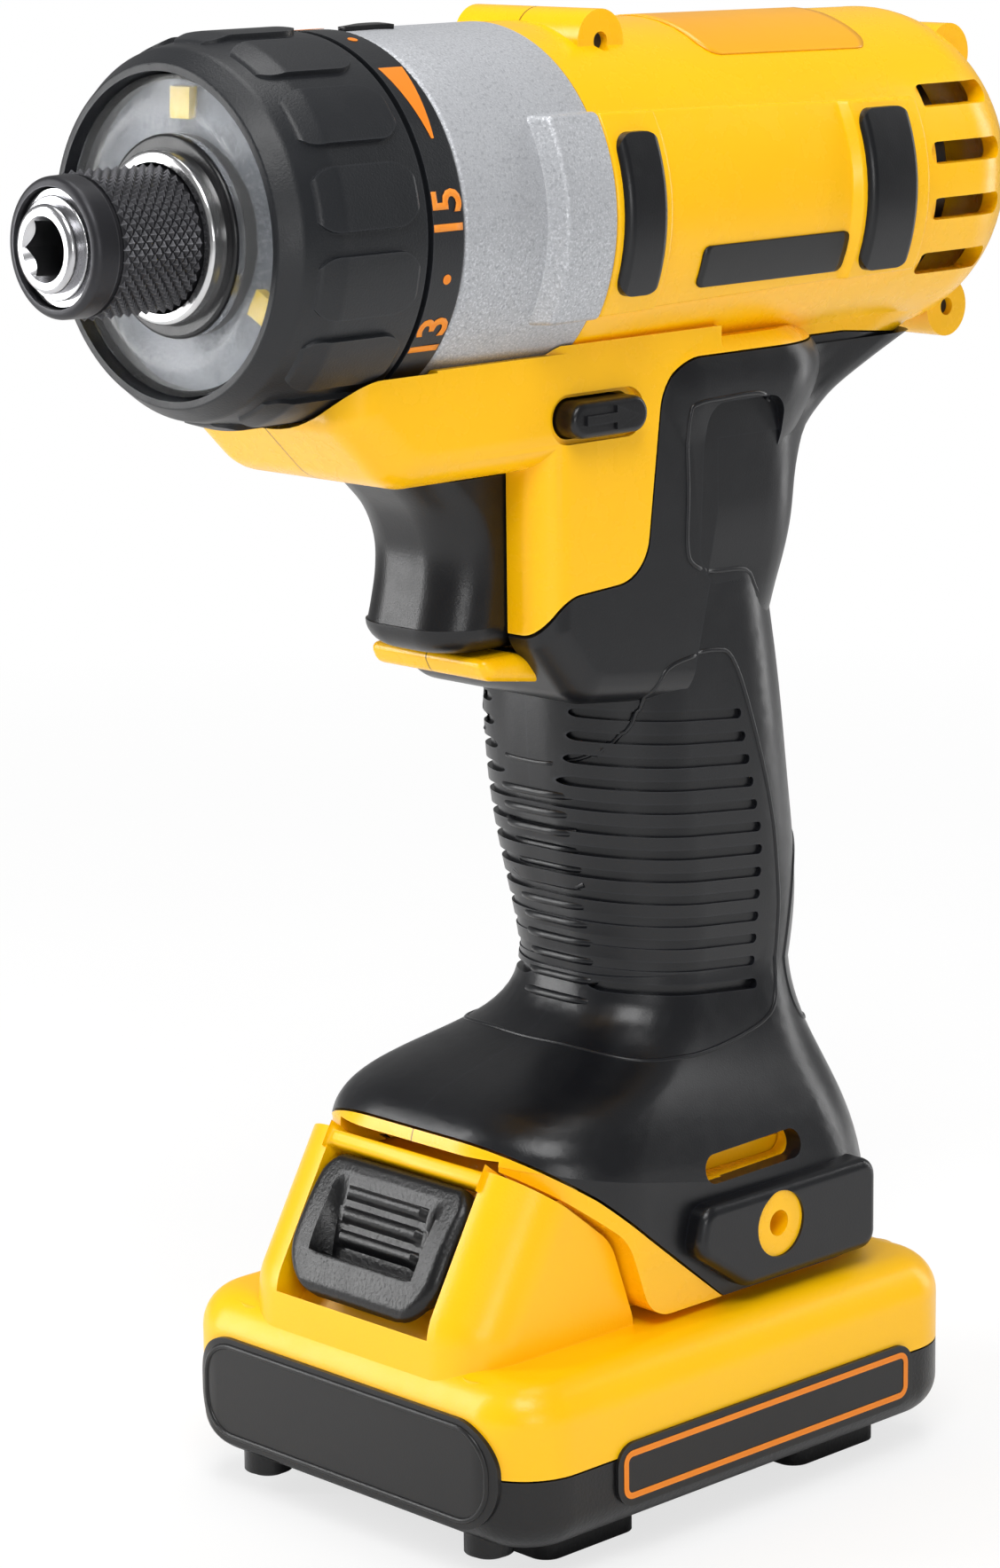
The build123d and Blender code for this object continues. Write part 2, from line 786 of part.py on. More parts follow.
def chin(inset):
    """The front of the lower housing, under the casing and over the trigger."""
    side = BODY_HALF_WIDTH - inset
    body = slab(
        -side,
        side,
        (joint_x + 41.5 - inset, AXIS_HEIGHT - 17),
        (joint_x + 41.5 - inset, AXIS_HEIGHT - 23, 3),
        (joint_x + 33.0 - inset, AXIS_HEIGHT - 31.5 + inset, 8),
        (joint_x + 4, AXIS_HEIGHT - 31.5 + inset),
        (joint_x + 4, AXIS_HEIGHT - 17),
    )
    body = fillet(side_edges(body, side - 0.1, z_to=AXIS_HEIGHT - 18, x_from=joint_x + 5), 5.0)
    return body - casing_room() - tube(collar_back - 0.5, nose_x, COLLAR_RADIUS + COLLAR_PAD_RISE + 0.5)


def column(inset):
    """The flat sided middle of the housing that holds the switch."""
    side = BODY_HALF_WIDTH - inset
    body = slab(
        -side,
        side,
        (joint_x + 9.7 - inset, AXIS_HEIGHT - 16),
        (joint_x + 9.7 - inset, AXIS_HEIGHT - 53, 4),
        (joint_x + 2.5 - inset, AXIS_HEIGHT - 62, 6),
        (joint_x - 16, AXIS_HEIGHT - 64),
        (joint_x - 22, AXIS_HEIGHT - 40),
        (joint_x - 22, AXIS_HEIGHT - 16),
    )
    return fillet(side_edges(body, side - 0.1, x_from=joint_x + 1, z_to=AXIS_HEIGHT - 32), 4.5)


def trigger_lip():
    """The shelf under the trigger."""
    side = TRIGGER_HALF_WIDTH + 1.2
    body = slab(
        -side,
        side,
        (joint_x + 4, AXIS_HEIGHT - 55),
        (joint_x + 15.0, AXIS_HEIGHT - 55, 0.8),
        (joint_x + 13.6, AXIS_HEIGHT - 57.8, 1.6),
        (joint_x + 4, AXIS_HEIGHT - 59.2),
    )
    return fillet(side_edges(body, side - 0.1, x_from=joint_x + 13, x_to=joint_x + 16), 1.4)


def tilted(x, z, tilt, length, width, corner):
    """A rounded plan section on a plane that rises towards the nose."""
    angle = math.radians(tilt)
    along = (math.cos(angle), 0, math.sin(angle))
    upward = (-math.sin(angle), 0, math.cos(angle))
    return Plane(origin=(x, 0, z), x_dir=along, z_dir=upward) * RectangleRounded(length, width, corner)


def foot_front_edge(shift):
    """Corners of the slanted front edge of the foot, which the pack follows."""
    return [
        (joint_x + 18.4 + shift, 49.8 - shift),
        (joint_x + 12.5 + shift, 45.5 - shift, 10),
        (joint_x + 4.4 + shift, 39.0 - shift, 8),
        (joint_x + 0.6 + shift, FOOT_BOTTOM, 5),
    ]


def foot(inset):
    width = 2 * (FOOT_HALF_WIDTH - inset)
    flare = loft([
        tilted(joint_x - 26.4, 68.0, 0, 36.0 - 2 * inset, 29.2 - 2 * inset, 12.2 - inset),
        tilted(joint_x - 25.0, 61.0, 2, 40.0 - 2 * inset, 32.4 - 2 * inset, 13.3 - inset),
        tilted(joint_x - 19.5, 53.0 - inset, 8, 58.0 - 2 * inset, 43.0 - 2 * inset, 16.0 - inset),
        tilted(joint_x - 16.0, 42.5 - inset, 12, 70.4 - 2 * inset, width, 17.0 - inset),
    ])
    plan = Pos(joint_x - 16.0, 0, FOOT_BOTTOM) * RectangleRounded(68.8 - 2 * inset, width, 17.0 - inset)
    skirt = slab(
        -40,
        40,
        (joint_x - 60, FOOT_BOTTOM),
        (joint_x - 60, 35.2 - inset),
        (joint_x - 50.4, 35.2 - inset),
        *foot_front_edge(-inset),
    )
    return flare + (skirt & extrude(plan, amount=40))


def outer_body(inset):
    """The left half of the whole outer form."""
    body = left_only(barrel(inset))
    for form in (handle, web, column, chin, foot):
        body = body + left_only(form(inset))
    return body + left_only(trigger_lip())


def grip_zone(gap):
    """The side outline of everything that the soft grip covers."""
    drop = AXIS_HEIGHT - gap
    back = joint_x - gap
    upper = slab(
        -60,
        60,
        (back - 70.0, drop - 21.5),
        (back - 50.0, drop - 19.4),
        (back - 11.5, drop - 19.4, 7),
        (back - 8.0, drop - 46.6, 6),
        (back + 6.0, drop - 47.4, 5),
        (back + 13.0, drop - 56.5, 6),
        (back + 24.0, drop - 57.6),
        (back + 24.0, 78),
        (back + 20.0, 53.2 + gap),
        (back + 15.0, 49.6 + gap),
        (back + 8.6, 45.0 + gap, 9),
        (back + 1.0, 38.6 + gap, 6),
        (back - 4.7, 34.0 + gap, 8),
        (back - 15.0, FOOT_BOTTOM - 2),
        (back - 70.0, FOOT_BOTTOM - 2),
    )
    return upper


def left_only(shape):
    """The part of a shape on the tool's left side."""
    return shape & block(rear_x - 5, nose_x + 5, 0, 60, -5, AXIS_HEIGHT + 60)


def grip_and_shell():
    """The left half of the soft grip and of the hard body that it is moulded on."""
    outer = outer_body(0)
    core = outer_body(GRIP_THICKNESS)
    grip = (outer & grip_zone(SEAM)) - core
    shell = (outer - grip_zone(0)) + core
    return grip, shell


def selector_place():
    return joint_x + 0.4, AXIS_HEIGHT - 25.2


def stadium(length, height, y_from, y_to, x, z):
    """A round ended bar across the tool."""
    outline = Plane.XZ * Pos(x, z) * SlotOverall(length, height)
    return Pos(0, y_to, 0) * extrude(outline, amount=y_to - y_from)


def boss_places():
    """Screw bosses as x, z and half length."""
    return [
        (joint_x - 6.4, AXIS_HEIGHT + 20.2, 11.0),
        (rear_x + 7.2, AXIS_HEIGHT + 15.4, 9.5),
        (rear_x + 7.2, AXIS_HEIGHT - 18.6, 9.5),
        (joint_x - 16.5, AXIS_HEIGHT - 24.6, 13.0),
        (joint_x - 26.0, 73.0, 11.0),
    ]


def boss_radius():
    return 4.0


def cheek_span():
    return joint_x - 55.5, mouth_x


def cheeks():
    """Raised side panels with pockets for the bumpers."""
    back, front = cheek_span()
    high = BARREL_RADIUS + CHEEK_RISE
    ring = turned(
        (back, BARREL_RADIUS - 2.0),
        (front, BARREL_RADIUS - 2.0),
        (front, high, 0.5),
        (front - 9.4, high, 0.4),
        (front - 10.4, high - 1.0, 0.4),
        (front - 43.7, high - 1.0, 0.4),
        (front - 44.7, high, 0.4),
        (back + 2.0, high, 0.6),
        (back, BARREL_RADIUS - 0.6),
    )
    window = slab(
        0,
        40,
        (back - 1, AXIS_HEIGHT - 11.0),
        (front + 1, AXIS_HEIGHT - 12.4),
        (front + 1, AXIS_HEIGHT + 12.4),
        (back - 1, AXIS_HEIGHT + 11.0),
    )
    cheek = ring & window
    ends = cheek.faces().filter_by(lambda face: abs(face.center().Z - AXIS_HEIGHT) > 10.5).edges()
    long_edges = ends.filter_by(lambda edge: edge.length > 4 and edge.center().Y > 20.2)
    return both_sides(fillet(long_edges, 0.5))


def bumper(x_back, x_front, half_height, proud, rounding):
    """One rubber bumper on the left side of the barrel."""
    ring = turned(
        (x_back, BARREL_RADIUS - 0.4),
        (x_front, BARREL_RADIUS - 0.4),
        (x_front, BARREL_RADIUS + CHEEK_RISE + proud, rounding),
        (x_back, BARREL_RADIUS + CHEEK_RISE + proud, rounding),
    )
    outline = slab(
        0,
        40,
        (x_back, AXIS_HEIGHT - half_height, 2.5),
        (x_front, AXIS_HEIGHT - half_height, 2.5),
        (x_front, AXIS_HEIGHT + half_height, 2.5),
        (x_back, AXIS_HEIGHT + half_height, 2.5),
    )
    return ring & outline


def barrel_bumpers():
    front = bumper(mouth_x - 8.2, mouth_x - 1.0, 10.0, 1.0, 1.2)
    rear = bumper(joint_x - 50.8, joint_x - 41.4, 10.4, 1.0, 1.2)
    return both_sides(front + rear)


def vents():
    """Four slots on each side of the barrel's shoulder."""
    slots = []
    for n in range(4):
        z = AXIS_HEIGHT + 7.3 * (n - 1.5)
        slots.append(stadium(15.0, 2.9, -40, 40, rear_x + 17.0, z))
    side_only = block(rear_x, rear_x + 30, -9, 9, AXIS_HEIGHT - 20, AXIS_HEIGHT + 20)
    return Compound(children=[solid for slot in slots for solid in (slot - side_only).solids()])


def drive_room():
    """The bore that takes the gearbox."""
    return tube(gearbox_back - 0.3, mouth_x + 1, barrel_bore)


def handle_room(half_width, thicker):
    """A room down the handle whose front and back walls follow the handle."""
    inset = GRIP_THICKNESS + WALL + thicker
    front = [(joint_x + centre + depth - inset, height) for height, centre, depth, _ in HANDLE_SECTIONS]
    back = [(joint_x + centre - depth + inset, height) for height, centre, depth, _ in HANDLE_SECTIONS]
    return slab(-half_width, half_width, *front, *reversed(back))


def hollows():
    """The rooms inside the housing that hold no plastic."""
    inset = GRIP_THICKNESS + WALL
    motor_bay = barrel(WALL)
    middle = slab(
        -BODY_HALF_WIDTH + inset,
        BODY_HALF_WIDTH - inset,
        (joint_x + 7.4, AXIS_HEIGHT - 54),
        (joint_x + 7.4, AXIS_HEIGHT - 22.7),
        (gearbox_back - 1, AXIS_HEIGHT - 22.7),
        (gearbox_back - 1, AXIS_HEIGHT - 16),
        (joint_x - 34, AXIS_HEIGHT - 16),
        (joint_x - 34, AXIS_HEIGHT - 54),
    )
    under_casing = slab(
        -12,
        12,
        (joint_x + 12, AXIS_HEIGHT - 29.2),
        (joint_x + 31, AXIS_HEIGHT - 29.2),
        (joint_x + 35, AXIS_HEIGHT - 26),
        (joint_x + 12, AXIS_HEIGHT - 26),
    )
    wire_way = block(joint_x - 38, joint_x - 14, -9, 9, CHANNEL_TOP - 1, 60)
    lead_way = block(motor_back - 8.8, joint_x - 33, -5.8, 5.8, AXIS_HEIGHT - 19.9, AXIS_HEIGHT - 17)
    grip_rooms = handle_room(5.5, 0), handle_room(10.2, 4.6)
    ways = wire_way, lead_way
    return drive_room(), casing_room(), motor_bay, *grip_rooms, middle, under_casing, *ways


def trigger_mouth():
    """The way for the trigger, as long as the trigger and its travel."""
    side = TRIGGER_HALF_WIDTH + RUN_GAP
    back = joint_x + 5.6 - TRIGGER_TRAVEL
    return block(back, joint_x + 30, -side, side, AXIS_HEIGHT - 54.9, AXIS_HEIGHT - 31.6)


def pack_channel():
    """The T slot in the foot that takes the pack's tongue."""
    back = channel_back()
    front = joint_x + 40
    wide = CHANNEL_HALF_WIDTH
    narrow = RAIL_GAP_HALF_WIDTH
    bay = LATCH_HALF_WIDTH + 1
    slot = block(back, front, -wide, wide, RAIL_HEIGHT, CHANNEL_TOP)
    neck = block(back, front, -narrow, narrow, FOOT_BOTTOM - 5, RAIL_HEIGHT + 1)
    return slot + neck + block(joint_x + 6, front, -bay, bay, RAIL_HEIGHT, 50.2)


def channel_back():
    return joint_x - 38.0


def hook_place():
    return joint_x - 20.8, 36.3


def hook_bosses():
    """Screw bosses for a belt hook, one on each side of the foot."""
    x, z = hook_place()
    inner = CHANNEL_HALF_WIDTH + 0.8
    ring = rod_y(x, z, 4.4, inner, FOOT_HALF_WIDTH + 2.4)
    return both_sides(ring - rod_y(x, z, HOOK_HOLE_RADIUS, inner + 0.8, FOOT_HALF_WIDTH + 5))


def hook_seat():
    x, z = hook_place()
    return both_sides(rod_y(x, z, 4.4, CHANNEL_HALF_WIDTH + 0.8, FOOT_HALF_WIDTH + 6))


def hook_slot():
    """The slot above each belt hook boss."""
    x, z = hook_place()
    outline = stadium(19.0, 3.8, FOOT_HALF_WIDTH - 5.5, FOOT_HALF_WIDTH + 8, x + 1.6, z + 8.8)
    return both_sides(outline)


def hook_block():
    """The rubber pad around each belt hook boss."""
    x, z = hook_place()
    body = slab(
        FOOT_HALF_WIDTH - 1.2,
        FOOT_HALF_WIDTH + 2.8,
        (x - 19.0, FOOT_BOTTOM + 1.0, 2.5),
        (x + 6.0, FOOT_BOTTOM + 1.0, 4),
        (x + 15.5, z - 1.0, 3),
        (x + 14.0, z + 5.0, 2.5),
        (x - 19.0, z + 5.0, 2.5),
    )
    outer = body.faces().sort_by(Axis.Y)[-1].edges()
    return both_sides(fillet(outer, 1.4))


def handle_at(height):
    """Centre, half depth and half width of the handle at a height."""
    for low, high in zip(HANDLE_SECTIONS, HANDLE_SECTIONS[1:]):
        if low[0] <= height <= high[0]:
            share = (height - low[0]) / (high[0] - low[0])
            return [start + share * (end - start) for start, end in zip(low[1:], high[1:])]
    raise ValueError("the height is outside the handle")


def handle_prism(height, reach, inset):
    """An upright block with the handle's section at one height, to end shallow cuts on."""
    centre, half_depth, half_width = handle_at(height)
    corner = half_width - HANDLE_FLAT - inset
    outline = RectangleRounded(2 * (half_depth - inset), 2 * (half_width - inset), corner)
    return extrude(Pos(joint_x + centre, 0, height - reach) * outline, amount=2 * reach)


def ribbed_panel():
    """Grooves pressed into the palm side of the grip."""
    ribs = []
    for n in range(RIBS):
        height = RIB_START + RIB_PITCH * n
        lean = 0.12 * RIB_PITCH * n
        length = 27.0 - 0.25 * abs(height - 86)
        place = Plane.XZ * Pos(joint_x - 19.5 + lean, height) * Rot(0, 0, 6)
        groove = place * SlotOverall(length, RIB_GROOVE)
        ribs.extend((extrude(groove, amount=-40) - handle_prism(height, 4, RIB_DEPTH)).solids())
    return Compound(children=ribs)


def thumb_panel():
    """The shallow smooth inset below the barrel where the thumb lies."""
    x = joint_x
    middle = AXIS_HEIGHT - 37.5
    outline = face_xz(
        (x - 19.0, AXIS_HEIGHT - 25.6, 3),
        (x - 33.0, AXIS_HEIGHT - 25.6, 3),
        (x - 33.5, AXIS_HEIGHT - 31.0, 4),
        (x - 31.0, AXIS_HEIGHT - 49.5, 3),
        (x - 20.5, AXIS_HEIGHT - 49.5, 3),
        (x - 18.0, AXIS_HEIGHT - 45.5, 3),
    )
    flat = BODY_HALF_WIDTH - THUMB_DEPTH
    side = block(x - 22, x, -flat, flat, middle - 20, middle + 20)
    top = block(x - 36, x - 21, -flat, flat, AXIS_HEIGHT - 30.5, middle + 20)
    return extrude(outline, amount=-40) - handle_prism(middle, 20, THUMB_DEPTH) - side - top


def switch_rest():
    """Ledges in the handle that the switch stands on."""
    return block(joint_x - 20, joint_x - 4, 6.0, 14, AXIS_HEIGHT - 54.5, AXIS_HEIGHT - 51.5)


def motor_ribs():
    """Rings inside the barrel that hold the motor, open below for its wires."""
    outer = barrel_bore + 0.4
    inner = MOTOR_RADIUS + SEAT_GAP
    rear = motor_back + 3
    front = motor_front - 22
    rings = tube(rear, rear + 2, outer, inner) + tube(front, front + 2, outer, inner)
    return rings - block(rear_x, joint_x, -6, 6, AXIS_HEIGHT - 40, AXIS_HEIGHT - 14)


def selector_cuts():
    """The way for the selector through one wall, with a shallow recess around it."""
    x, z = selector_place()
    recess = stadium(16.5, 6.3, BODY_HALF_WIDTH - 1.0, 40, x, z)
    way = stadium(SELECTOR_LENGTH + 2 * RUN_GAP, SELECTOR_HEIGHT + 2 * RUN_GAP, 0, 40, x, z)
    return recess + way


def left_parts():
    """The left half of the hard housing and of the grip, without screw holes."""
    grip, shell = grip_and_shell()
    places = boss_places()
    outside = [rod_y(x, z, boss_radius(), 0, half) for x, z, half in places[:BARREL_BOSSES]]
    inside = [rod_y(x, z, boss_radius() - 0.4, 0, half) - drive_room() for x, z, half in places]
    shell = shell + [left_only(cheeks()), *outside]
    for cut in (barrel_bumpers(), *hollows(), trigger_mouth(), pack_channel(), vents()):
        shell = shell - left_only(cut)
    shell = shell + [left_only(motor_ribs()), switch_rest(), *inside]
    for cut in (selector_cuts(), hook_seat(), hook_slot()):
        shell = shell - cut
    grip = grip + left_only(hook_block())
    for cut in (hook_seat(), hook_slot(), thumb_panel(), ribbed_panel(), trigger_mouth(), pack_channel()):
        grip = grip - cut
    return shell, grip


def screw_pilots():
    """Pilot holes in the left half; those of the bosses on the barrel are open at both ends."""
    pilots = []
    for index, (x, z, half) in enumerate(boss_places()):
        reach = half + 10 if index < BARREL_BOSSES else half - 1
        pilots.append(rod_y(x, z, SCREW_RADIUS + 0.1, -1, reach).solid())
    return Compound(children=pilots)


def screw_ways():
    """Clearance holes and head seats in the right half."""
    ways = []
    for x, z, half in boss_places():
        seat = rod_y(x, z, SCREW_HEAD_RADIUS + 0.2, -half - 14, -half + 2.4)
        ways.append((seat + rod_y(x, z, SCREW_RADIUS + 0.2, -half, 1)).solid())
    return Compound(children=ways)


def housing_screws():
    screws = []
    for x, z, half in boss_places():
        shank = rod_y(x, z, SCREW_RADIUS, -half + 2.4, half - 1.0)
        head = rod_y(x, z, SCREW_HEAD_RADIUS, -half + 0.4, -half + 2.4)
        level = block(x - 1.6, x + 1.6, -half, -half + 1.2, z - 0.3, z + 0.3)
        upright = block(x - 0.3, x + 0.3, -half, -half + 1.2, z - 1.6, z + 1.6)
        screws.append((shank + head - level - upright).solid())
    return Compound(children=screws)


# Trigger, selector and switch


def trigger():
    x = joint_x
    body = slab(
        -TRIGGER_HALF_WIDTH,
        TRIGGER_HALF_WIDTH,
        (x + 6.2, AXIS_HEIGHT - 31.9 - RUN_GAP),
        (x + 24.6, AXIS_HEIGHT - 31.9 - RUN_GAP, 2.0),
        (x + 17.6, AXIS_HEIGHT - 42.5, 14),
        (x + 20.6, AXIS_HEIGHT - 54.9 + RUN_GAP, 4.0),
        (x + 6.2, AXIS_HEIGHT - 54.9 + RUN_GAP),
    )
    body = fillet(side_edges(body, TRIGGER_HALF_WIDTH - 0.1, x_from=x + 15.8), 3.0)
    plunger = rod_x(x - 5.0, x + 6.4, 0, AXIS_HEIGHT - 44.5, 2.5)
    return body + plunger


def trigger_spring():
    return coil_x(joint_x - 0.8, joint_x + 6.2, 0, AXIS_HEIGHT - 44.5, 3.6, 0.45, 5)


def direction_selector():
    x, z = selector_place()
    end = BODY_HALF_WIDTH + SELECTOR_PROUD
    cap = stadium(SELECTOR_LENGTH, SELECTOR_HEIGHT, 11.0, end, x, z)
    cap = fillet(cap.faces().sort_by(Axis.Y)[-1].edges(), 0.8)
    arrow = face_xz(
        (x - 4.6, z),
        (x - 0.6, z + 1.5),
        (x - 0.6, z + 0.6),
        (x + 4.6, z + 0.6),
        (x + 4.6, z - 0.6),
        (x - 0.6, z - 0.6),
        (x - 0.6, z - 1.5),
    )
    mark = Pos(0, end + 0.35, 0) * extrude(arrow, amount=0.6)
    yoke = block(x - 5.3, x - 1.0, -11.5, 11.5, z - 2.0, z + 2.0)
    return both_sides(cap + mark) + yoke


def switch_body():
    x = joint_x
    body = block(x - 20.0, x - 0.8, -9.0, 9.0, AXIS_HEIGHT - 51.5, AXIS_HEIGHT - 35.8)
    body = fillet(body.edges().filter_by(Axis.X), 1.0)
    return body - rod_x(x - 12.0, x, 0, AXIS_HEIGHT - 44.5, 2.5 + RUN_GAP)


# Battery pack


def pack_plan(grow):
    length = PACK_LENGTH + 2 * grow
    width = 2 * (PACK_HALF_WIDTH + grow)
    return Pos(pack_front - PACK_LENGTH / 2, 0, 0) * RectangleRounded(length, width, PACK_CORNER + grow)


def pack_prism(grow, z_from, z_to):
    return extrude(Pos(0, 0, z_from) * pack_plan(grow), amount=z_to - z_from)


def tray_floor():
    return PAD_HEIGHT + 1.0


def pack_tray():
    body = pack_prism(0, tray_floor(), TRAY_SPLIT)
    body = fillet(body.faces().sort_by(Axis.Z)[0].edges(), 5.0)
    body = body - pack_prism(-PACK_WALL, tray_floor() + PACK_WALL, TRAY_SPLIT + 1)
    back = cell_back()
    front = back + CELL_LENGTH
    half = PACK_HALF_WIDTH - 2.6
    saddle = block(back - 0.5, front + 0.5, -half, half, tray_floor() + PACK_WALL, tray_floor() + 6.5)
    for n in range(3):
        y = CELL_PITCH * (n - 1)
        saddle = saddle - rod_x(back - 2, front + 2, y, cell_height(), CELL_RADIUS + SEAT_GAP)
    body = body + saddle
    pad = extrude(RectangleRounded(17.0, 9.0, 2.5), amount=PAD_HEIGHT + 2)
    for x in (pack_front - 20.0, pack_back + 16.5):
        for side in (-1, 1):
            body = body + Pos(x, side * 20.5, 0) * pad
    for x, y in screw_posts():
        body = body + rod_z(x, y, 3.2, PAD_HEIGHT - 1, TRAY_SPLIT)
        body = body - rod_z(x, y, 2.4, -1, PAD_HEIGHT + 0.1)
        body = body - rod_z(x, y, 1.4, 0, 30)
    return body


def screw_posts():
    """Where the pack's screws stand, clear of the cells."""
    xs = (pack_front - 5.4, pack_back + 5.4)
    return [(x, side * 21.0) for x in xs for side in (-1, 1)]


def pack_screws():
    screws = []
    for x, y in screw_posts():
        head = rod_z(x, y, 2.2, PAD_HEIGHT - 1.5, PAD_HEIGHT + 0.1)
        shank = rod_z(x, y, 1.3, PAD_HEIGHT + 0.1, TRAY_SPLIT + 5)
        cross = Pos(x, y, PAD_HEIGHT - 1.3) * (Box(2.8, 0.6, 1.0) + Box(0.6, 2.8, 1.0))
        screws.append((head + shank - cross).solid())
    return Compound(children=screws)


def cell_back():
    return pack_back + 9.5


def cell_height():
    return tray_floor() + PACK_WALL + CELL_RADIUS + 0.3


def cells():
    parts = []
    for n in range(3):
        y = CELL_PITCH * (n - 1)
        cell = rod_x(cell_back(), cell_back() + CELL_LENGTH, y, cell_height(), CELL_RADIUS)
        cell = fillet(cell.edges(), 0.7)
        parts.append(cell.solid())
    return Compound(children=parts)


def hump():
    """The domed front of the cover, which follows the slanted front of the foot."""
    body = slab(
        -HUMP_HALF_WIDTH,
        HUMP_HALF_WIDTH,
        (pack_front - 1.2, PACK_SHOULDER - 3),
        (pack_front - 1.6, PACK_SHOULDER + 4.5, 9),
        *foot_front_edge(0.5),
        (joint_x + 0.6, PACK_SHOULDER - 3),
    )
    flank = side_edges(body, HUMP_HALF_WIDTH - 0.1, x_from=joint_x + 18.9, z_from=PACK_SHOULDER - 3)
    return fillet(flank, 8.0)


def tongue():
    """The T section that slides into the foot."""
    back = blade_back() + 0.6
    front = joint_x + 14.0
    wide = CHANNEL_HALF_WIDTH - RUN_GAP
    neck = RAIL_GAP_HALF_WIDTH - RUN_GAP
    head = block(back, front, -wide, wide, RAIL_HEIGHT + RUN_GAP, CHANNEL_TOP - RUN_GAP)
    stem = block(back, front, -neck, neck, PACK_SHOULDER - 3, RAIL_HEIGHT + 1)
    return head + stem


def latch_slope():
    """The direction in which the latch is pressed, down along the hump's front."""
    run = 14.8
    drop = 19.0
    length = math.hypot(run, drop)
    return run / length, -drop / length


def latch_point(along, out):
    """A point on the latch: along its slope from the top, and out from its face."""
    run, drop = latch_slope()
    return joint_x + 14.6 + along * run - out * drop, 48.9 + along * drop + out * run


def latch_body(gap):
    """The latch's block, grown by a gap for its pocket."""
    return slab(
        -LATCH_HALF_WIDTH - gap,
        LATCH_HALF_WIDTH + gap,
        (*latch_point(-gap, -5.0 - gap), 1.0),
        (*latch_point(-gap, 1.2 + gap), 1.6),
        (*latch_point(21.0 + gap, 1.8 + gap), 1.6),
        (*latch_point(21.0 + gap, -4.4 - gap), 1.0),
    )


def latch_pocket():
    run, drop = latch_slope()
    body = latch_body(0.4)
    travel = LATCH_TRAVEL + 0.6
    lower = body + Pos(travel * run, 0, travel * drop) * body
    return lower + Pos(-3 * drop, 0, 3 * run) * lower + Pos(-6 * drop, 0, 6 * run) * lower


def pack_latch():
    """The thumb latch on the pack's front, with a scoop and finger ribs."""
    body = latch_body(0)
    rim = side_edges(body, LATCH_HALF_WIDTH - 0.1).filter_by(lambda edge: edge.length > 15)
    body = fillet(rim.sort_by(Axis.X)[-2:], 1.6)
    x, z = latch_point(9.5, 9.6)
    body = body - rod_y(x, z, 11.4, -LATCH_HALF_WIDTH + 2.6, LATCH_HALF_WIDTH - 2.6)
    for along in (6.0, 9.5, 13.0):
        x, z = latch_point(along, -1.7 + 0.05 * (along - 9.5) ** 2)
        body = body + rod_y(x, z, 0.9, -LATCH_HALF_WIDTH + 4.5, LATCH_HALF_WIDTH - 4.5)
    return body


def pack_cover():
    body = pack_prism(0, TRAY_SPLIT + SEAM, PACK_SHOULDER)
    body = fillet(body.faces().sort_by(Axis.Z)[-1].edges(), 5.5)
    body = body + hump() + tongue()
    inside = pack_prism(-PACK_WALL, TRAY_SPLIT - 1, PACK_SHOULDER - PACK_WALL)
    inside = fillet(inside.faces().sort_by(Axis.Z)[-1].edges(), 4.0)
    half = TONGUE_ROOM_HALF_WIDTH
    room = block(blade_back() + 3.0, joint_x + 6, -half, half, PACK_SHOULDER - 4, CHANNEL_TOP - 2.4)
    body = body - inside - room - latch_pocket()
    for x, y in screw_posts():
        body = body + rod_z(x, y, 3.2, TRAY_SPLIT + SEAM, PACK_SHOULDER - PACK_WALL / 2)
        body = body - rod_z(x, y, 1.4, TRAY_SPLIT - 1, TRAY_SPLIT + 5.2)
    half = BLADE_THICKNESS / 2 + 0.4
    front = blade_back() + BLADE_LENGTH + 1.0
    for y in blade_places():
        body = body - block(blade_back(), front, y - half, y + half, RAIL_HEIGHT + 2.6, CHANNEL_TOP)
    return body


def blade_places():
    return (-12.0, -4.0, 4.0, 12.0)


def terminal_block():
    return block(channel_back(), blade_back(), -16, 16, RAIL_HEIGHT + 0.2, CHANNEL_TOP)


def blade_back():
    return channel_back() + TERMINAL_DEPTH


def terminal_blades():
    start = blade_back()
    half = BLADE_THICKNESS / 2
    low = RAIL_HEIGHT + 3.6
    high = CHANNEL_TOP - 1.0
    blades = [block(start, start + BLADE_LENGTH, y - half, y + half, low, high) for y in blade_places()]
    return Compound(children=[blade.solid() for blade in blades])


def pack_board():
    height = CHANNEL_TOP - 8.0
    half = TONGUE_ROOM_HALF_WIDTH
    return block(blade_back() + BLADE_LENGTH + 3.0, joint_x + 4, -half, half, height, height + 1.6)


def front_plate():
    skin = pack_prism(0.6, 5, 27) - pack_prism(0, 4, 28)
    pill = Plane.YZ * Pos(0, 14.4) * RectangleRounded(56, 14.5, 6.5)
    return skin & extrude(pill, amount=200)


def side_plates():
    skin = pack_prism(0.5, 5, 27) - pack_prism(0, 4, 28)
    pill = slab(
        0,
        60,
        (pack_front - 16, 8.0, 3),
        (pack_front - 16, 16.4, 3),
        (pack_back + 11, 16.4, 3),
        (pack_back + 11, 8.0, 3),
    )
    return both_sides(skin & pill)


# Wiring


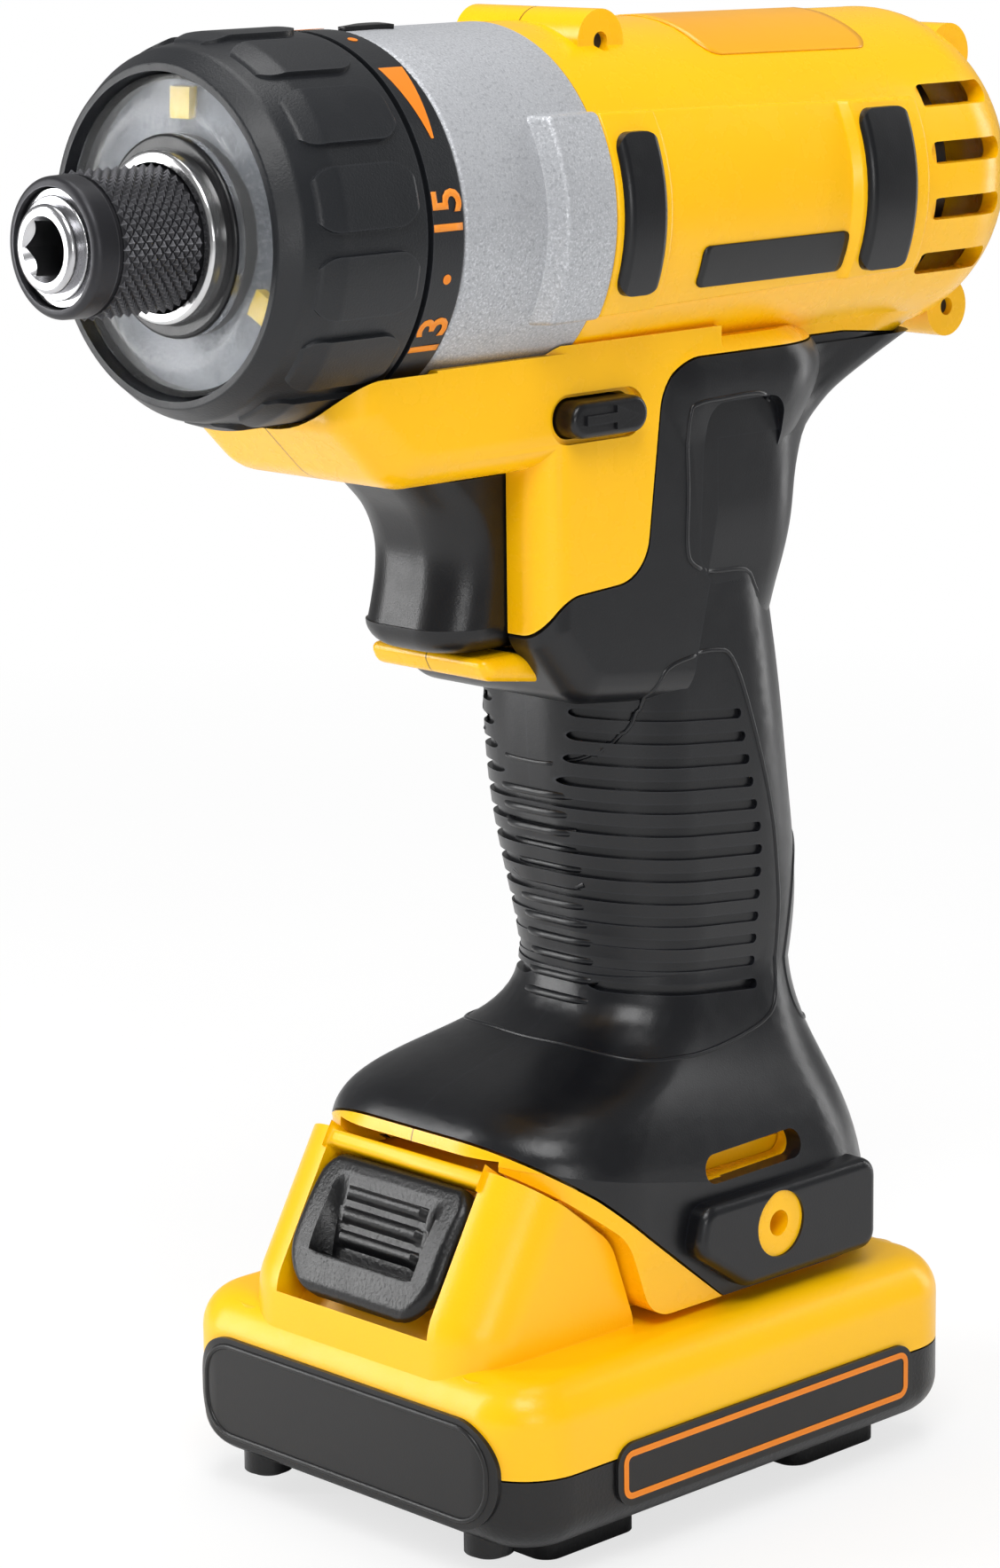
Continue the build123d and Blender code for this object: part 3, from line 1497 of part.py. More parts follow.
def leads():
    """Wires from the pack's terminals to the switch and from the switch to the motor."""
    x = joint_x
    wires = []
    for side in (-1, 1):
        y = 4.0 * side
        supply = [
            (x - 35.8, y, CHANNEL_TOP),
            (x - 35.8, y, CHANNEL_TOP + 7),
            (x - 33.0, y, 66.0),
            (x - 32.5, y, 82.0),
            (x - 25.0, y, 98.0),
            (x - 15.0, y, AXIS_HEIGHT - 58.0),
            (x - 15.0, y, AXIS_HEIGHT - 51.5),
        ]
        wires.append(cable(1.0, 3.0, *supply).solid())
        y = 4.5 * side
        drive = [
            (x - 20.0, y, AXIS_HEIGHT - 40.0),
            (x - 24.0, y, AXIS_HEIGHT - 40.0),
            (x - 28.0, y, AXIS_HEIGHT - 38.0),
            (x - 32.4, y, AXIS_HEIGHT - 18.8),
            (motor_back - 7.4, y, AXIS_HEIGHT - 18.4),
            (motor_back - 7.4, y, AXIS_HEIGHT - 9.0),
            (motor_back - 5.6, y, AXIS_HEIGHT - 9.0),
        ]
        wires.append(cable(0.9, 1.6, *drive).solid())
    return Compound(children=wires)


half_housing, half_grip = left_parts()

nodes = {
    "left_housing": half_housing - screw_pilots(),
    "right_housing": mirror(half_housing, Plane.XZ) - screw_ways(),
    "left_grip": half_grip,
    "right_grip": mirror(half_grip, Plane.XZ) - screw_ways(),
    "barrel_bumpers": barrel_bumpers(),
    "housing_screws": housing_screws(),
    "hook_bosses": hook_bosses(),
    "gearbox_casing": gearbox_casing(),
    "gearbox_plate": gearbox_plate(),
    "bearing_bushes": bearing_bushes(),
    "first_ring_gear": ring_gear(first_ring_back, first_ring_back + FIRST_RING_LENGTH),
    "second_ring_gear": ring_gear(second_ring_back, second_ring_front),
    "clutch_pins": clutch_pins(),
    "clutch_spring": clutch_spring(),
    "clutch_nut": clutch_nut(),
    "torque_collar": torque_collar(),
    "lens_holder": lens_holder(),
    "led_board": led_board(),
    "leds": leds(),
    "led_lens": led_lens(),
    "nose_ring": nose_ring(),
    "output_spindle": output_spindle(),
    "second_carrier": second_carrier(),
    "detent_ball": detent_ball(),
    "sleeve_clip": sleeve_clip(),
    "bit_sleeve": bit_sleeve(),
    "sleeve_spring": sleeve_spring(),
    "first_carrier": first_carrier(),
    "motor_pinion": motor_pinion(),
    "motor_shaft": motor_shaft(),
    "armature_core": armature_core(),
    "armature_windings": armature_windings(),
    "commutator": commutator(),
    "cooling_fan": cooling_fan(),
    "motor_can": motor_can(),
    "motor_magnets": motor_magnets(),
    "motor_end_cap": motor_end_cap(),
    "carbon_brushes": carbon_brushes(),
    "trigger": trigger(),
    "trigger_spring": trigger_spring(),
    "direction_selector": direction_selector(),
    "switch_body": switch_body(),
    "leads": leads(),
    "terminal_block": terminal_block(),
    "terminal_blades": terminal_blades(),
    "pack_cover": pack_cover(),
    "pack_tray": pack_tray(),
    "pack_screws": pack_screws(),
    "cells": cells(),
    "pack_board": pack_board(),
    "pack_latch": pack_latch(),
    "front_plate": front_plate(),
    "side_plates": side_plates(),
}
for index, name in enumerate(("a", "b", "c")):
    nodes["first_planet_" + name] = planet(first_planet_back(), index)
    nodes["second_planet_" + name] = planet(second_planet_back(), index)

os.makedirs("parts", exist_ok=True)
for name, shape in nodes.items():
    export_step(shape, "parts/" + name + ".step")
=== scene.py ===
import json
import math

import bmesh
import bpy
from mathutils import Matrix, Vector
from mathutils.bvhtree import BVHTree

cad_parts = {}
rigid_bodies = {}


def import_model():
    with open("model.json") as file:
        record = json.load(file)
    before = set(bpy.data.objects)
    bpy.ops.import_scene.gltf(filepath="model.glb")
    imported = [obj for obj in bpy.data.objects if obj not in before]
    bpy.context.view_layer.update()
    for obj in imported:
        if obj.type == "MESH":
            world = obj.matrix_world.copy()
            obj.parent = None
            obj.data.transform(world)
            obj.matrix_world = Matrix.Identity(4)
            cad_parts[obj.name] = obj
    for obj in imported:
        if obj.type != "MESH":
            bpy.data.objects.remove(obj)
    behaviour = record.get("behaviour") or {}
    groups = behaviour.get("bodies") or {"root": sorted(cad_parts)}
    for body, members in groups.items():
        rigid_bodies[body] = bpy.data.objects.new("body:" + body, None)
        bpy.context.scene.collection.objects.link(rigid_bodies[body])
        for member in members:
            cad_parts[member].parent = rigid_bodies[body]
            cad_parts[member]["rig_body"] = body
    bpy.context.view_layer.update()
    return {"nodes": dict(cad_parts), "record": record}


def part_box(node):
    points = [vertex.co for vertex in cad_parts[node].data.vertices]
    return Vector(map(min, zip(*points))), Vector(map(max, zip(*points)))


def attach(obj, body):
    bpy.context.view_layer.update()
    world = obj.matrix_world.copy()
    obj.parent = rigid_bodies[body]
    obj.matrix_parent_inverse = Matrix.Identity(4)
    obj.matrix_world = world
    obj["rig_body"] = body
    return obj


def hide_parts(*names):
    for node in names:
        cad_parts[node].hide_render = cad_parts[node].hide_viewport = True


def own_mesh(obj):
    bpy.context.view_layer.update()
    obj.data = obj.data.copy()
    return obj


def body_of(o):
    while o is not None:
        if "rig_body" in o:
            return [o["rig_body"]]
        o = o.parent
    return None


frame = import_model()
nodes = frame["nodes"]

MM = 0.001
IMAGE_LONG_SIDE = 1768

# Camera, in millimetres, degrees and pixels
CAMERA_PLACE = Vector((408.1, 416.6, 220.6))
CAMERA_AZIMUTH = 136.0
CAMERA_ELEVATION = 12.3
CAMERA_ROLL = -0.7
CAMERA_FOCAL_PIXELS = 5200.0
SENSOR_WIDTH = 36.0

# Sizes read from the frame, in millimetres
sleeve_low, sleeve_high = (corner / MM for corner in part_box("bit_sleeve"))
tray_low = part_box("pack_tray")[0] / MM
plate_low, plate_high = (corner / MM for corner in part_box("side_plates"))
front_low, front_high = (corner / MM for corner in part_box("front_plate"))
axis_height = (sleeve_low.z + sleeve_high.z) / 2

# Places clear of the drill, in millimetres, that points are cast on to it from
ABOVE = 260
AHEAD = 90
BESIDE = 60

# Facets that meet at less than this angle are shaded as one surface
SHARP_CORNER = math.radians(32)

# How far the floor is lifted to white, and how strongly the room lights the drill
FLOOR_GLOW = 0.72
ROOM_LIGHT = 0.3


# Shader building


class Wire:
    """A shader socket that sums, products and comparisons can be written with."""

    def __init__(self, finish, socket):
        self.finish = finish
        self.socket = socket

    def combine(self, operation, first, second):
        return self.finish.node("ShaderNodeMath", {"operation": operation}, {0: first, 1: second})

    def __add__(self, other):
        return self.combine("ADD", self, other)

    def __radd__(self, other):
        return self.combine("ADD", other, self)

    def __sub__(self, other):
        return self.combine("SUBTRACT", self, other)

    def __rsub__(self, other):
        return self.combine("SUBTRACT", other, self)

    def __mul__(self, other):
        return self.combine("MULTIPLY", self, other)

    def __lt__(self, other):
        return self.combine("LESS_THAN", self, other)

    def __abs__(self):
        return self.combine("ABSOLUTE", self, 0.0)

    def clamped(self):
        return self.finish.node("ShaderNodeClamp", {}, {"Value": self})


class Finish:
    """The look of a material or of the world, built node by node in the object's own coordinates."""

    def __init__(self, owner):
        self.owner = owner
        owner.use_nodes = True
        self.tree = owner.node_tree
        self.tree.nodes.clear()
        self.place = self.node("ShaderNodeTexCoord", {"output": "Object"}, {})

    def node(self, kind, settings, sockets):
        """Adds a node, sets it up, fills its sockets and gives back one of its outputs."""
        made = self.tree.nodes.new(kind)
        settings = dict(settings)
        output = settings.pop("output", 0)
        stops = settings.pop("stops", ())
        for key, value in settings.items():
            setattr(made, key, value)
        for number, (position, level) in enumerate(stops):
            ramp = made.color_ramp.elements
            stop = ramp[number] if number < len(ramp) else ramp.new(position)
            stop.position = position
            stop.color = (level, level, level, 1)
        for key, value in sockets.items():
            if isinstance(value, Wire):
                self.tree.links.new(value.socket, made.inputs[key])
            else:
                made.inputs[key].default_value = value
        return Wire(self, made.outputs[output]) if len(made.outputs) else None

    def stretched(self, stretch):
        return self.node("ShaderNodeVectorMath", {"operation": "MULTIPLY"}, {0: self.place, 1: stretch})

    def noise(self, size_mm, detail=2.0, stretch=None):
        """Soft noise from 0 to 1 with features about size_mm across."""
        place = self.stretched(stretch) if stretch else self.place
        sockets = {"Vector": place, "Scale": 1 / (size_mm * MM), "Detail": detail}
        return self.node("ShaderNodeTexNoise", {}, sockets)

    def cells(self, size_mm):
        """Distance to the middle of the nearest of many small cells."""
        sockets = {"Vector": self.place, "Scale": 1 / (size_mm * MM)}
        return self.node("ShaderNodeTexVoronoi", {}, sockets)

    def ramp(self, value, *stops):
        return self.node("ShaderNodeValToRGB", {"stops": stops}, {"Fac": value})

    def along(self, axis):
        """One coordinate of the surface, in millimetres."""
        return self.node("ShaderNodeSeparateXYZ", {"output": axis}, {"Vector": self.place}) * (1 / MM)

    def blend(self, amount, first, second):
        """A colour between two colours."""
        settings = {"data_type": "RGBA", "output": 2}
        return self.node("ShaderNodeMix", settings, {0: amount, 6: first, 7: second})

    def edges(self, radius_mm):
        """Nothing on open faces, rising to one along sharp edges."""
        rounded = self.node("ShaderNodeBevel", {"samples": 3}, {"Radius": radius_mm * MM})
        flat = self.node("ShaderNodeNewGeometry", {"output": "Normal"}, {})
        settings = {"operation": "DOT_PRODUCT", "output": "Value"}
        likeness = self.node("ShaderNodeVectorMath", settings, {0: rounded, 1: flat})
        return ((1 - likeness) * 5).clamped()

    def bump(self, height, depth_mm):
        return self.node("ShaderNodeBump", {}, {"Height": height, "Distance": depth_mm * MM})

    def seen(self):
        """One for what the camera or a clear piece shows, and nothing for lighting and reflections."""
        share = 0
        for ray in ("Is Camera Ray", "Is Transmission Ray"):
            share = self.node("ShaderNodeLightPath", {"output": ray}, {}) + share
        return share.clamped()

    def surface(self, sockets):
        shader = self.node("ShaderNodeBsdfPrincipled", {}, sockets)
        self.node("ShaderNodeOutputMaterial", {}, {"Surface": shader})
        return self.owner


def new_finish(name):
    return Finish(bpy.data.materials.new(name))


def colour(red, green, blue):
    """A colour written in screen levels from 0 to 255."""

    def level(value):
        share = value / 255
        if share <= 0.04045:
            return share / 12.92
        return ((share + 0.055) / 1.055) ** 2.4

    return level(red), level(green), level(blue), 1.0


# Finishes

# Painted shade along the seam between the two housing halves: its half width in millimetres, and how dark
# it gets.
PARTING_SHADE_HALF_WIDTH = 0.13
PARTING_SHADE_STRENGTH = 0.75


def moulded(name, tone, deep, edge_highlight_tone, grain_mm, grain_depth, roughness, specular, parting_shade=False):
    """Moulded plastic or rubber: cloudy colour, a fine grain, a painted highlight along the edges, and
    painted shade along the seam where asked.
    """
    finish = new_finish(name)
    cloud = finish.noise(22.0, 3)
    grain = finish.noise(grain_mm, 2)
    scuff = finish.ramp(finish.noise(3.0, 4), (0.45, 0), (0.75, 1))
    tint = finish.blend(cloud, deep, tone)
    # Painted highlight: the edges are lightened towards a paler tone.
    tint = finish.blend(finish.edges(0.4) * 0.45, tint, edge_highlight_tone)
    if parting_shade:
        # Painted shade: a dark line where the two halves meet, standing in for the shadow in the seam.
        line = abs(finish.along("Y")) < PARTING_SHADE_HALF_WIDTH
        tint = finish.blend(line * PARTING_SHADE_STRENGTH, tint, colour(60, 40, 4))
    return finish.surface({
        "Base Color": tint,
        "Roughness": roughness + (cloud - 0.5) * 0.08 + scuff * 0.05,
        "Specular IOR Level": specular,
        "Normal": finish.bump(grain, grain_depth),
    })


def metal(name, tone, dark, roughness, stretch, streak_mm, depth_mm):
    """Metal with streaks from turning, winding or stamping."""
    finish = new_finish(name)
    streaks = finish.noise(streak_mm, 3, stretch)
    tarnish = finish.ramp(finish.noise(6.0, 4), (0.35, 0), (0.75, 1))
    tint = finish.blend(tarnish * 0.6 + streaks * 0.3, tone, dark)
    return finish.surface({
        "Base Color": tint,
        "Metallic": 1.0,
        "Roughness": roughness + streaks * 0.12 + tarnish * 0.06,
        "Normal": finish.bump(streaks, depth_mm),
    })


def yellow_shell():
    return moulded("yellow_shell", colour(255, 196, 0), colour(254, 188, 0), colour(255, 206, 50),
                   grain_mm=0.9, grain_depth=0.006, roughness=0.26, specular=0.4, parting_shade=True)


def yellow_cover():
    return moulded("yellow_cover", colour(255, 198, 0), colour(254, 188, 0), colour(255, 206, 50),
                   grain_mm=0.35, grain_depth=0.02, roughness=0.32, specular=0.4)


def soft_grip():
    return moulded("soft_grip", colour(17, 18, 22), colour(12, 13, 16), colour(40, 42, 48),
                   grain_mm=0.22, grain_depth=0.012, roughness=0.3, specular=0.4)


def black_moulding():
    return moulded("black_moulding", colour(17, 17, 20), colour(12, 12, 14), colour(44, 45, 48),
                   grain_mm=0.3, grain_depth=0.02, roughness=0.3, specular=0.4)


def textured_black():
    return moulded("textured_black", colour(15, 15, 17), colour(11, 11, 12), colour(42, 42, 44),
                   grain_mm=0.5, grain_depth=0.05, roughness=0.3, specular=0.4)


def collar_black():
    return moulded("collar_black", colour(26, 28, 32), colour(20, 22, 25), colour(58, 60, 64),
                   grain_mm=0.28, grain_depth=0.03, roughness=0.4, specular=0.4)


def bare_plate():
    return moulded("bare_plate", colour(22, 22, 23), colour(16, 16, 17), colour(46, 46, 48),
                   grain_mm=0.25, grain_depth=0.01, roughness=0.34, specular=0.4)


def orange_print():
    return moulded("orange_print", colour(240, 138, 24), colour(228, 120, 14), colour(246, 160, 60),
                   grain_mm=0.2, grain_depth=0.004, roughness=0.5, specular=0.35)


def label_film():
    return moulded("label_film", colour(246, 176, 20), colour(238, 164, 12), colour(252, 196, 60),
                   grain_mm=0.5, grain_depth=0.003, roughness=0.3, specular=0.5)


def white_moulding():
    return moulded("white_moulding", colour(226, 224, 216), colour(210, 207, 198), colour(240, 240, 236),
                   grain_mm=0.4, grain_depth=0.01, roughness=0.45, specular=0.5)


def red_wire():
    return moulded("red_wire", colour(170, 26, 22), colour(140, 16, 14), colour(190, 60, 54),
                   grain_mm=0.6, grain_depth=0.01, roughness=0.45, specular=0.5)


def cell_wrap():
    return moulded("cell_wrap", colour(40, 118, 168), colour(28, 96, 146), colour(90, 150, 190),
                   grain_mm=2.0, grain_depth=0.006, roughness=0.32, specular=0.5)


def solder_mask():
    return moulded("solder_mask", colour(24, 96, 58), colour(16, 76, 46), colour(70, 140, 90),
                   grain_mm=1.2, grain_depth=0.01, roughness=0.35, specular=0.5)


def pressed_carbon():
    return moulded("pressed_carbon", colour(58, 58, 58), colour(42, 42, 43), colour(84, 84, 84),
                   grain_mm=0.12, grain_depth=0.02, roughness=0.55, specular=0.5)


def phosphor():
    return moulded("phosphor", colour(246, 214, 70), colour(236, 196, 48), colour(250, 232, 140),
                   grain_mm=0.4, grain_depth=0.01, roughness=0.35, specular=0.5)


def grey_casing():
    """Silver paint with coarse bright flakes over a fine cast grain, and a painted highlight along the
    edges.
    """
    finish = new_finish("grey_casing")
    flakes = finish.ramp(finish.noise(0.28, 1), (0.5, 0), (0.68, 1))
    pits = finish.ramp(finish.noise(0.4, 2), (0.3, 1), (0.48, 0))
    cloud = finish.noise(18.0, 3)
    tint = finish.blend(cloud, colour(166, 168, 172), colour(180, 182, 186))
    tint = finish.blend(flakes * 0.6, tint, colour(218, 220, 224))
    tint = finish.blend(pits * 0.5, tint, colour(128, 130, 134))
    # Painted highlight: the edges are lightened towards a pale grey.
    tint = finish.blend(finish.edges(0.4) * 0.4, tint, colour(222, 224, 226))
    return finish.surface({
        "Base Color": tint,
        "Metallic": 0.25 + flakes * 0.3,
        "Roughness": 0.52 - flakes * 0.12 + pits * 0.1,
        "Normal": finish.bump(finish.noise(0.35, 2), 0.035),
    })


def black_oxide():
    """Blackened steel that is rubbed bright along its edges."""
    finish = new_finish("black_oxide")
    rings = finish.noise(0.5, 3, (6, 1, 1))
    rubbed = finish.edges(0.25)
    blotch = finish.noise(5.0, 4)
    tint = finish.blend(blotch, colour(38, 38, 41), colour(52, 52, 56))
    tint = finish.blend(rubbed * 0.5, tint, colour(128, 128, 132))
    return finish.surface({
        "Base Color": tint,
        "Metallic": 0.55 + rubbed * 0.3,
        "Roughness": 0.36 + rings * 0.14,
        "Normal": finish.bump(rings, 0.012),
    })


def turned_steel():
    return metal("turned_steel", colour(206, 206, 208), colour(150, 150, 154),
                 roughness=0.16, stretch=(9, 1, 1), streak_mm=1.2, depth_mm=0.01)


def bright_zinc():
    return metal("bright_zinc", colour(214, 214, 214), colour(168, 168, 170),
                 roughness=0.14, stretch=(9, 1, 1), streak_mm=1.6, depth_mm=0.008)


def sintered_bronze():
    return metal("sintered_bronze", colour(178, 132, 78), colour(128, 90, 50),
                 roughness=0.36, stretch=(1, 1, 1), streak_mm=0.4, depth_mm=0.02)


def wound_copper():
    return metal("wound_copper", colour(206, 118, 66), colour(140, 66, 30),
                 roughness=0.28, stretch=(1, 7, 7), streak_mm=1.4, depth_mm=0.05)


def stamped_brass():
    return metal("stamped_brass", colour(212, 178, 102), colour(160, 126, 62),
                 roughness=0.24, stretch=(1, 4, 1), streak_mm=1.0, depth_mm=0.01)


def ferrite():
    return metal("ferrite", colour(96, 96, 98), colour(66, 66, 68),
                 roughness=0.55, stretch=(1, 1, 1), streak_mm=0.3, depth_mm=0.03)


def stacked_steel():
    return metal("stacked_steel", colour(166, 166, 168), colour(96, 96, 98),
                 roughness=0.34, stretch=(24, 1, 1), streak_mm=6.0, depth_mm=0.05)


def clear_lens():
    """Clear moulded plastic with faint ripples."""
    finish = new_finish("clear_lens")
    ripples = finish.noise(1.8, 2)
    return finish.surface({
        "Base Color": finish.blend(ripples, colour(244, 246, 248), colour(255, 255, 255)),
        "Roughness": 0.12 + ripples * 0.08,
        "Transmission Weight": 0.96,
        "IOR": 1.18,
        "Normal": finish.bump(ripples, 0.06),
    })


def lamp_reflector():
    """Silvery paint behind the lens, with a coarse sparkle."""
    finish = new_finish("lamp_reflector")
    sparkle = finish.ramp(finish.cells(0.5), (0.1, 1), (0.6, 0))
    sheen = finish.noise(7.0, 2)
    tint = finish.blend(sheen, colour(84, 88, 95), colour(136, 140, 147))
    return finish.surface({
        "Base Color": finish.blend(sparkle * 0.25, tint, colour(214, 217, 222)),
        "Metallic": 0.15,
        "Roughness": 0.55 + sparkle * 0.12,
        "Normal": finish.bump(sparkle, 0.02),
    })


def floor_finish():
    """A white sweep that still takes the shadow."""
    finish = new_finish("floor_sweep")
    tone = finish.blend(finish.noise(60.0, 2), colour(244, 244, 244), colour(250, 250, 250))
    matt = finish.node("ShaderNodeBsdfDiffuse", {}, {"Color": tone})
    glow = finish.node("ShaderNodeEmission", {}, {"Color": (1, 1, 1, 1), "Strength": 1.0})
    settings = {"operation": "LENGTH", "output": "Value"}
    distance = finish.node("ShaderNodeVectorMath", settings, {0: finish.place})
    far = finish.ramp(distance, (0.12, 0), (0.6, 1))
    lifted = FLOOR_GLOW + far * (1 - FLOOR_GLOW)
    mixed = finish.node("ShaderNodeMixShader", {}, {0: finish.seen() * lifted, 1: matt, 2: glow})
    finish.node("ShaderNodeOutputMaterial", {}, {"Surface": mixed})
    return finish.owner


# Which finish each piece of the frame takes
FINISHES = {
    yellow_shell: ["left_housing", "right_housing", "hook_bosses"],
    yellow_cover: ["pack_cover"],
    soft_grip: ["left_grip", "right_grip", "barrel_bumpers"],
    grey_casing: ["gearbox_casing"],
    collar_black: ["torque_collar"],
    black_moulding: ["trigger", "direction_selector", "lens_holder", "switch_body", "motor_end_cap",
                     "cooling_fan", "terminal_block"],
    textured_black: ["pack_latch", "pack_tray"],
    bare_plate: ["front_plate", "side_plates"],
    black_oxide: ["bit_sleeve", "housing_screws", "pack_screws"],
    turned_steel: ["output_spindle", "motor_shaft", "motor_pinion", "first_carrier", "second_carrier",
                   "first_ring_gear", "second_ring_gear", "gearbox_plate", "clutch_pins", "clutch_spring",
                   "sleeve_spring", "trigger_spring", "detent_ball", "sleeve_clip"],
    bright_zinc: ["nose_ring", "motor_can"],
    sintered_bronze: ["bearing_bushes"],
    wound_copper: ["armature_windings", "commutator"],
    stamped_brass: ["terminal_blades"],
    ferrite: ["motor_magnets"],
    stacked_steel: ["armature_core"],
    pressed_carbon: ["carbon_brushes"],
    white_moulding: ["clutch_nut", "first_planet_a", "first_planet_b", "first_planet_c",
                     "second_planet_a", "second_planet_b", "second_planet_c"],
    clear_lens: ["led_lens"],
    lamp_reflector: ["led_board"],
    phosphor: ["leds"],
    red_wire: ["leads"],
    cell_wrap: ["cells"],
    solder_mask: ["pack_board"],
}


# Piece building


def new_piece(name, mesh, body, finish):
    """Adds a mesh to the scene as a piece that moves with a body."""
    piece = bpy.data.objects.new(name, mesh)
    bpy.context.scene.collection.objects.link(piece)
    piece.data.materials.append(finish)
    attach(piece, body)
    return piece


def mesh_from(name, points, faces):
    """A mesh from points in millimetres."""
    mesh = bpy.data.meshes.new(name)
    mesh.from_pydata([Vector(point) * MM for point in points], [], faces)
    mesh.update()
    return mesh


def ring_faces(first, second, count):
    """Faces that join two closed rings of points."""
    faces = []
    for n in range(count):
        ahead = (n + 1) % count
        faces.append((first + n, second + n, second + ahead, first + ahead))
    return faces


def sheet_faces(rows, width):
    """Faces that join rows of points, each row as wide as the next."""
    faces = []
    for row in range(rows - 1):
        for column in range(width - 1):
            corner = row * width + column
            faces.append((corner, corner + 1, corner + width + 1, corner + width))
    return faces


def smooth_shading(piece):
    """Rounds the shading over small angles and keeps true corners crisp."""
    mesh = piece.data
    if "custom_normal" in mesh.attributes:
        mesh.attributes.remove(mesh.attributes["custom_normal"])
    mesh.shade_smooth()
    weld = piece.modifiers.new("join_facets", "WELD")
    weld.merge_threshold = 1e-6
    corners = piece.modifiers.new("keep_corners", "EDGE_SPLIT")
    corners.split_angle = SHARP_CORNER
    even = piece.modifiers.new("even_facets", "WEIGHTED_NORMAL")
    even.keep_sharp = True


def probe(*names):
    """A search tree over the faces of some pieces of the frame."""
    points = []
    faces = []
    for name in names:
        mesh = nodes[name].data
        first = len(points)
        points += [vertex.co / MM for vertex in mesh.vertices]
        faces += [[first + corner for corner in face.vertices] for face in mesh.polygons]
    return BVHTree.FromPolygons(points, faces)


def landing(tree, start, direction):
    """Where a straight line from a start point first meets a surface, and the surface's normal."""
    point, normal, _, _ = tree.ray_cast(Vector(start), Vector(direction))
    if point is not None and normal.dot(Vector(direction)) > 0:
        normal = -normal
    return point, normal


def curve_through(points, closed, step):
    """Points about a step apart on a smooth curve through some points."""
    count = len(points)

    def knot(number):
        inside = number % count if closed else min(max(number, 0), count - 1)
        return Vector(points[inside])

    made = []
    for n in range(count if closed else count - 1):
        before, start, end, after = (knot(n + k) for k in (-1, 0, 1, 2))
        parts = max(2, round((end - start).length / step))
        for part in range(parts):
            t = part / parts
            made.append(0.5 * (2 * start + (end - before) * t
                               + (2 * before - 5 * start + 4 * end - after) * t ** 2
                               + (3 * start - before - 3 * end + after) * t ** 3))
    if not closed:
        made.append(Vector(points[-1]))
    return made


def eased(value):
    """A smooth step from nothing to one."""
    share = min(max(value, 0), 1)
    return share * share * (3 - 2 * share)


def quarter_drop(distance, radius):
    """How far a rounded edge has dropped at a distance from its rim."""
    short = max(radius - distance, 0)
    return radius - math.sqrt(radius ** 2 - short ** 2)


def bead(name, points, radius_mm, closed, body, finish):
    """A thin round bead along points in millimetres."""
    curve = bpy.data.curves.new(name, "CURVE")
    curve.dimensions = "3D"
    curve.bevel_depth = radius_mm * MM
    curve.bevel_resolution = 2
    curve.use_fill_caps = True
    spline = curve.splines.new("POLY")
    spline.points.add(len(points) - 1)
    for knot, point in zip(spline.points, points):
        knot.co = (*(Vector(point) * MM), 1)
    spline.use_cyclic_u = closed
    piece = bpy.data.objects.new(name, curve)
    bpy.context.scene.collection.objects.link(piece)
    curve.materials.append(finish)
    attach(piece, body)


# Knurled band of the sleeve

KNURL_COUNT = 36
KNURL_ROWS = 18
KNURL_BACK = 60.4
KNURL_FRONT = 72.4
KNURL_LOW = 8.28
KNURL_HIGH = 8.78


def knurled_band(finish):
    """Diamond knurling, low where the cuts cross and high between them."""
    columns = 2 * KNURL_COUNT
    points = []
    for row in range(KNURL_ROWS + 1):
        x = KNURL_BACK + (KNURL_FRONT - KNURL_BACK) * row / KNURL_ROWS
        for column in range(columns):
            radius = KNURL_HIGH if (row + column) % 2 and 0 < row < KNURL_ROWS else KNURL_LOW
            angle = 2 * math.pi * column / columns
            points.append((x, radius * math.sin(angle), axis_height + radius * math.cos(angle)))
    faces = []
    for row in range(1, KNURL_ROWS):
        for column in range(columns):
            if (row + column) % 2:
                top = row * columns + column
                left = row * columns + (column - 1) % columns
                right = row * columns + (column + 1) % columns
                back, ahead = top - columns, top + columns
                faces += [(top, left, back), (top, back, right), (top, right, ahead), (top, ahead, left)]
    new_piece("knurled_band", mesh_from("knurled_band", points, faces), "sleeve", finish)


# Trigger

TRIGGER_BACK = 10.2
TRIGGER_HALF_WIDTH = 9.6
TRIGGER_CORNER = 6.6
TRIGGER_ROUNDING = 3.4
TRIGGER_ROW_STEP = 0.8
TRIGGER_CORNER_STEP = 10
TRIGGER_FOOT_STEPS = 8
PLUNGER_BACK = -1.0
PLUNGER_HEIGHT = 124.0
PLUNGER_RADIUS = 2.5
PLUNGER_SIDES = 20

# The front of the trigger from top to bottom: height, and how far forward
TRIGGER_FRONT = [
    (136.3, 28.3), (134.8, 26.6), (131.6, 23.6), (127.6, 21.9),
    (123.6, 21.8), (119.6, 22.6), (116.6, 23.4), (113.9, 23.6),
]


def trigger_section(height, front, inset):
    """A closed level outline of the trigger, with round front corners."""
    side = TRIGGER_HALF_WIDTH - inset
    corner = TRIGGER_CORNER - inset / 2
    left = [(TRIGGER_BACK, side, height)]
    for degrees in range(90, -1, -TRIGGER_CORNER_STEP):
        turn = math.radians(degrees)
        left.append((front - inset - corner + corner * math.cos(turn),
                     side - corner + corner * math.sin(turn), height))
    return left + [(x, -y, z) for x, y, z in reversed(left)]


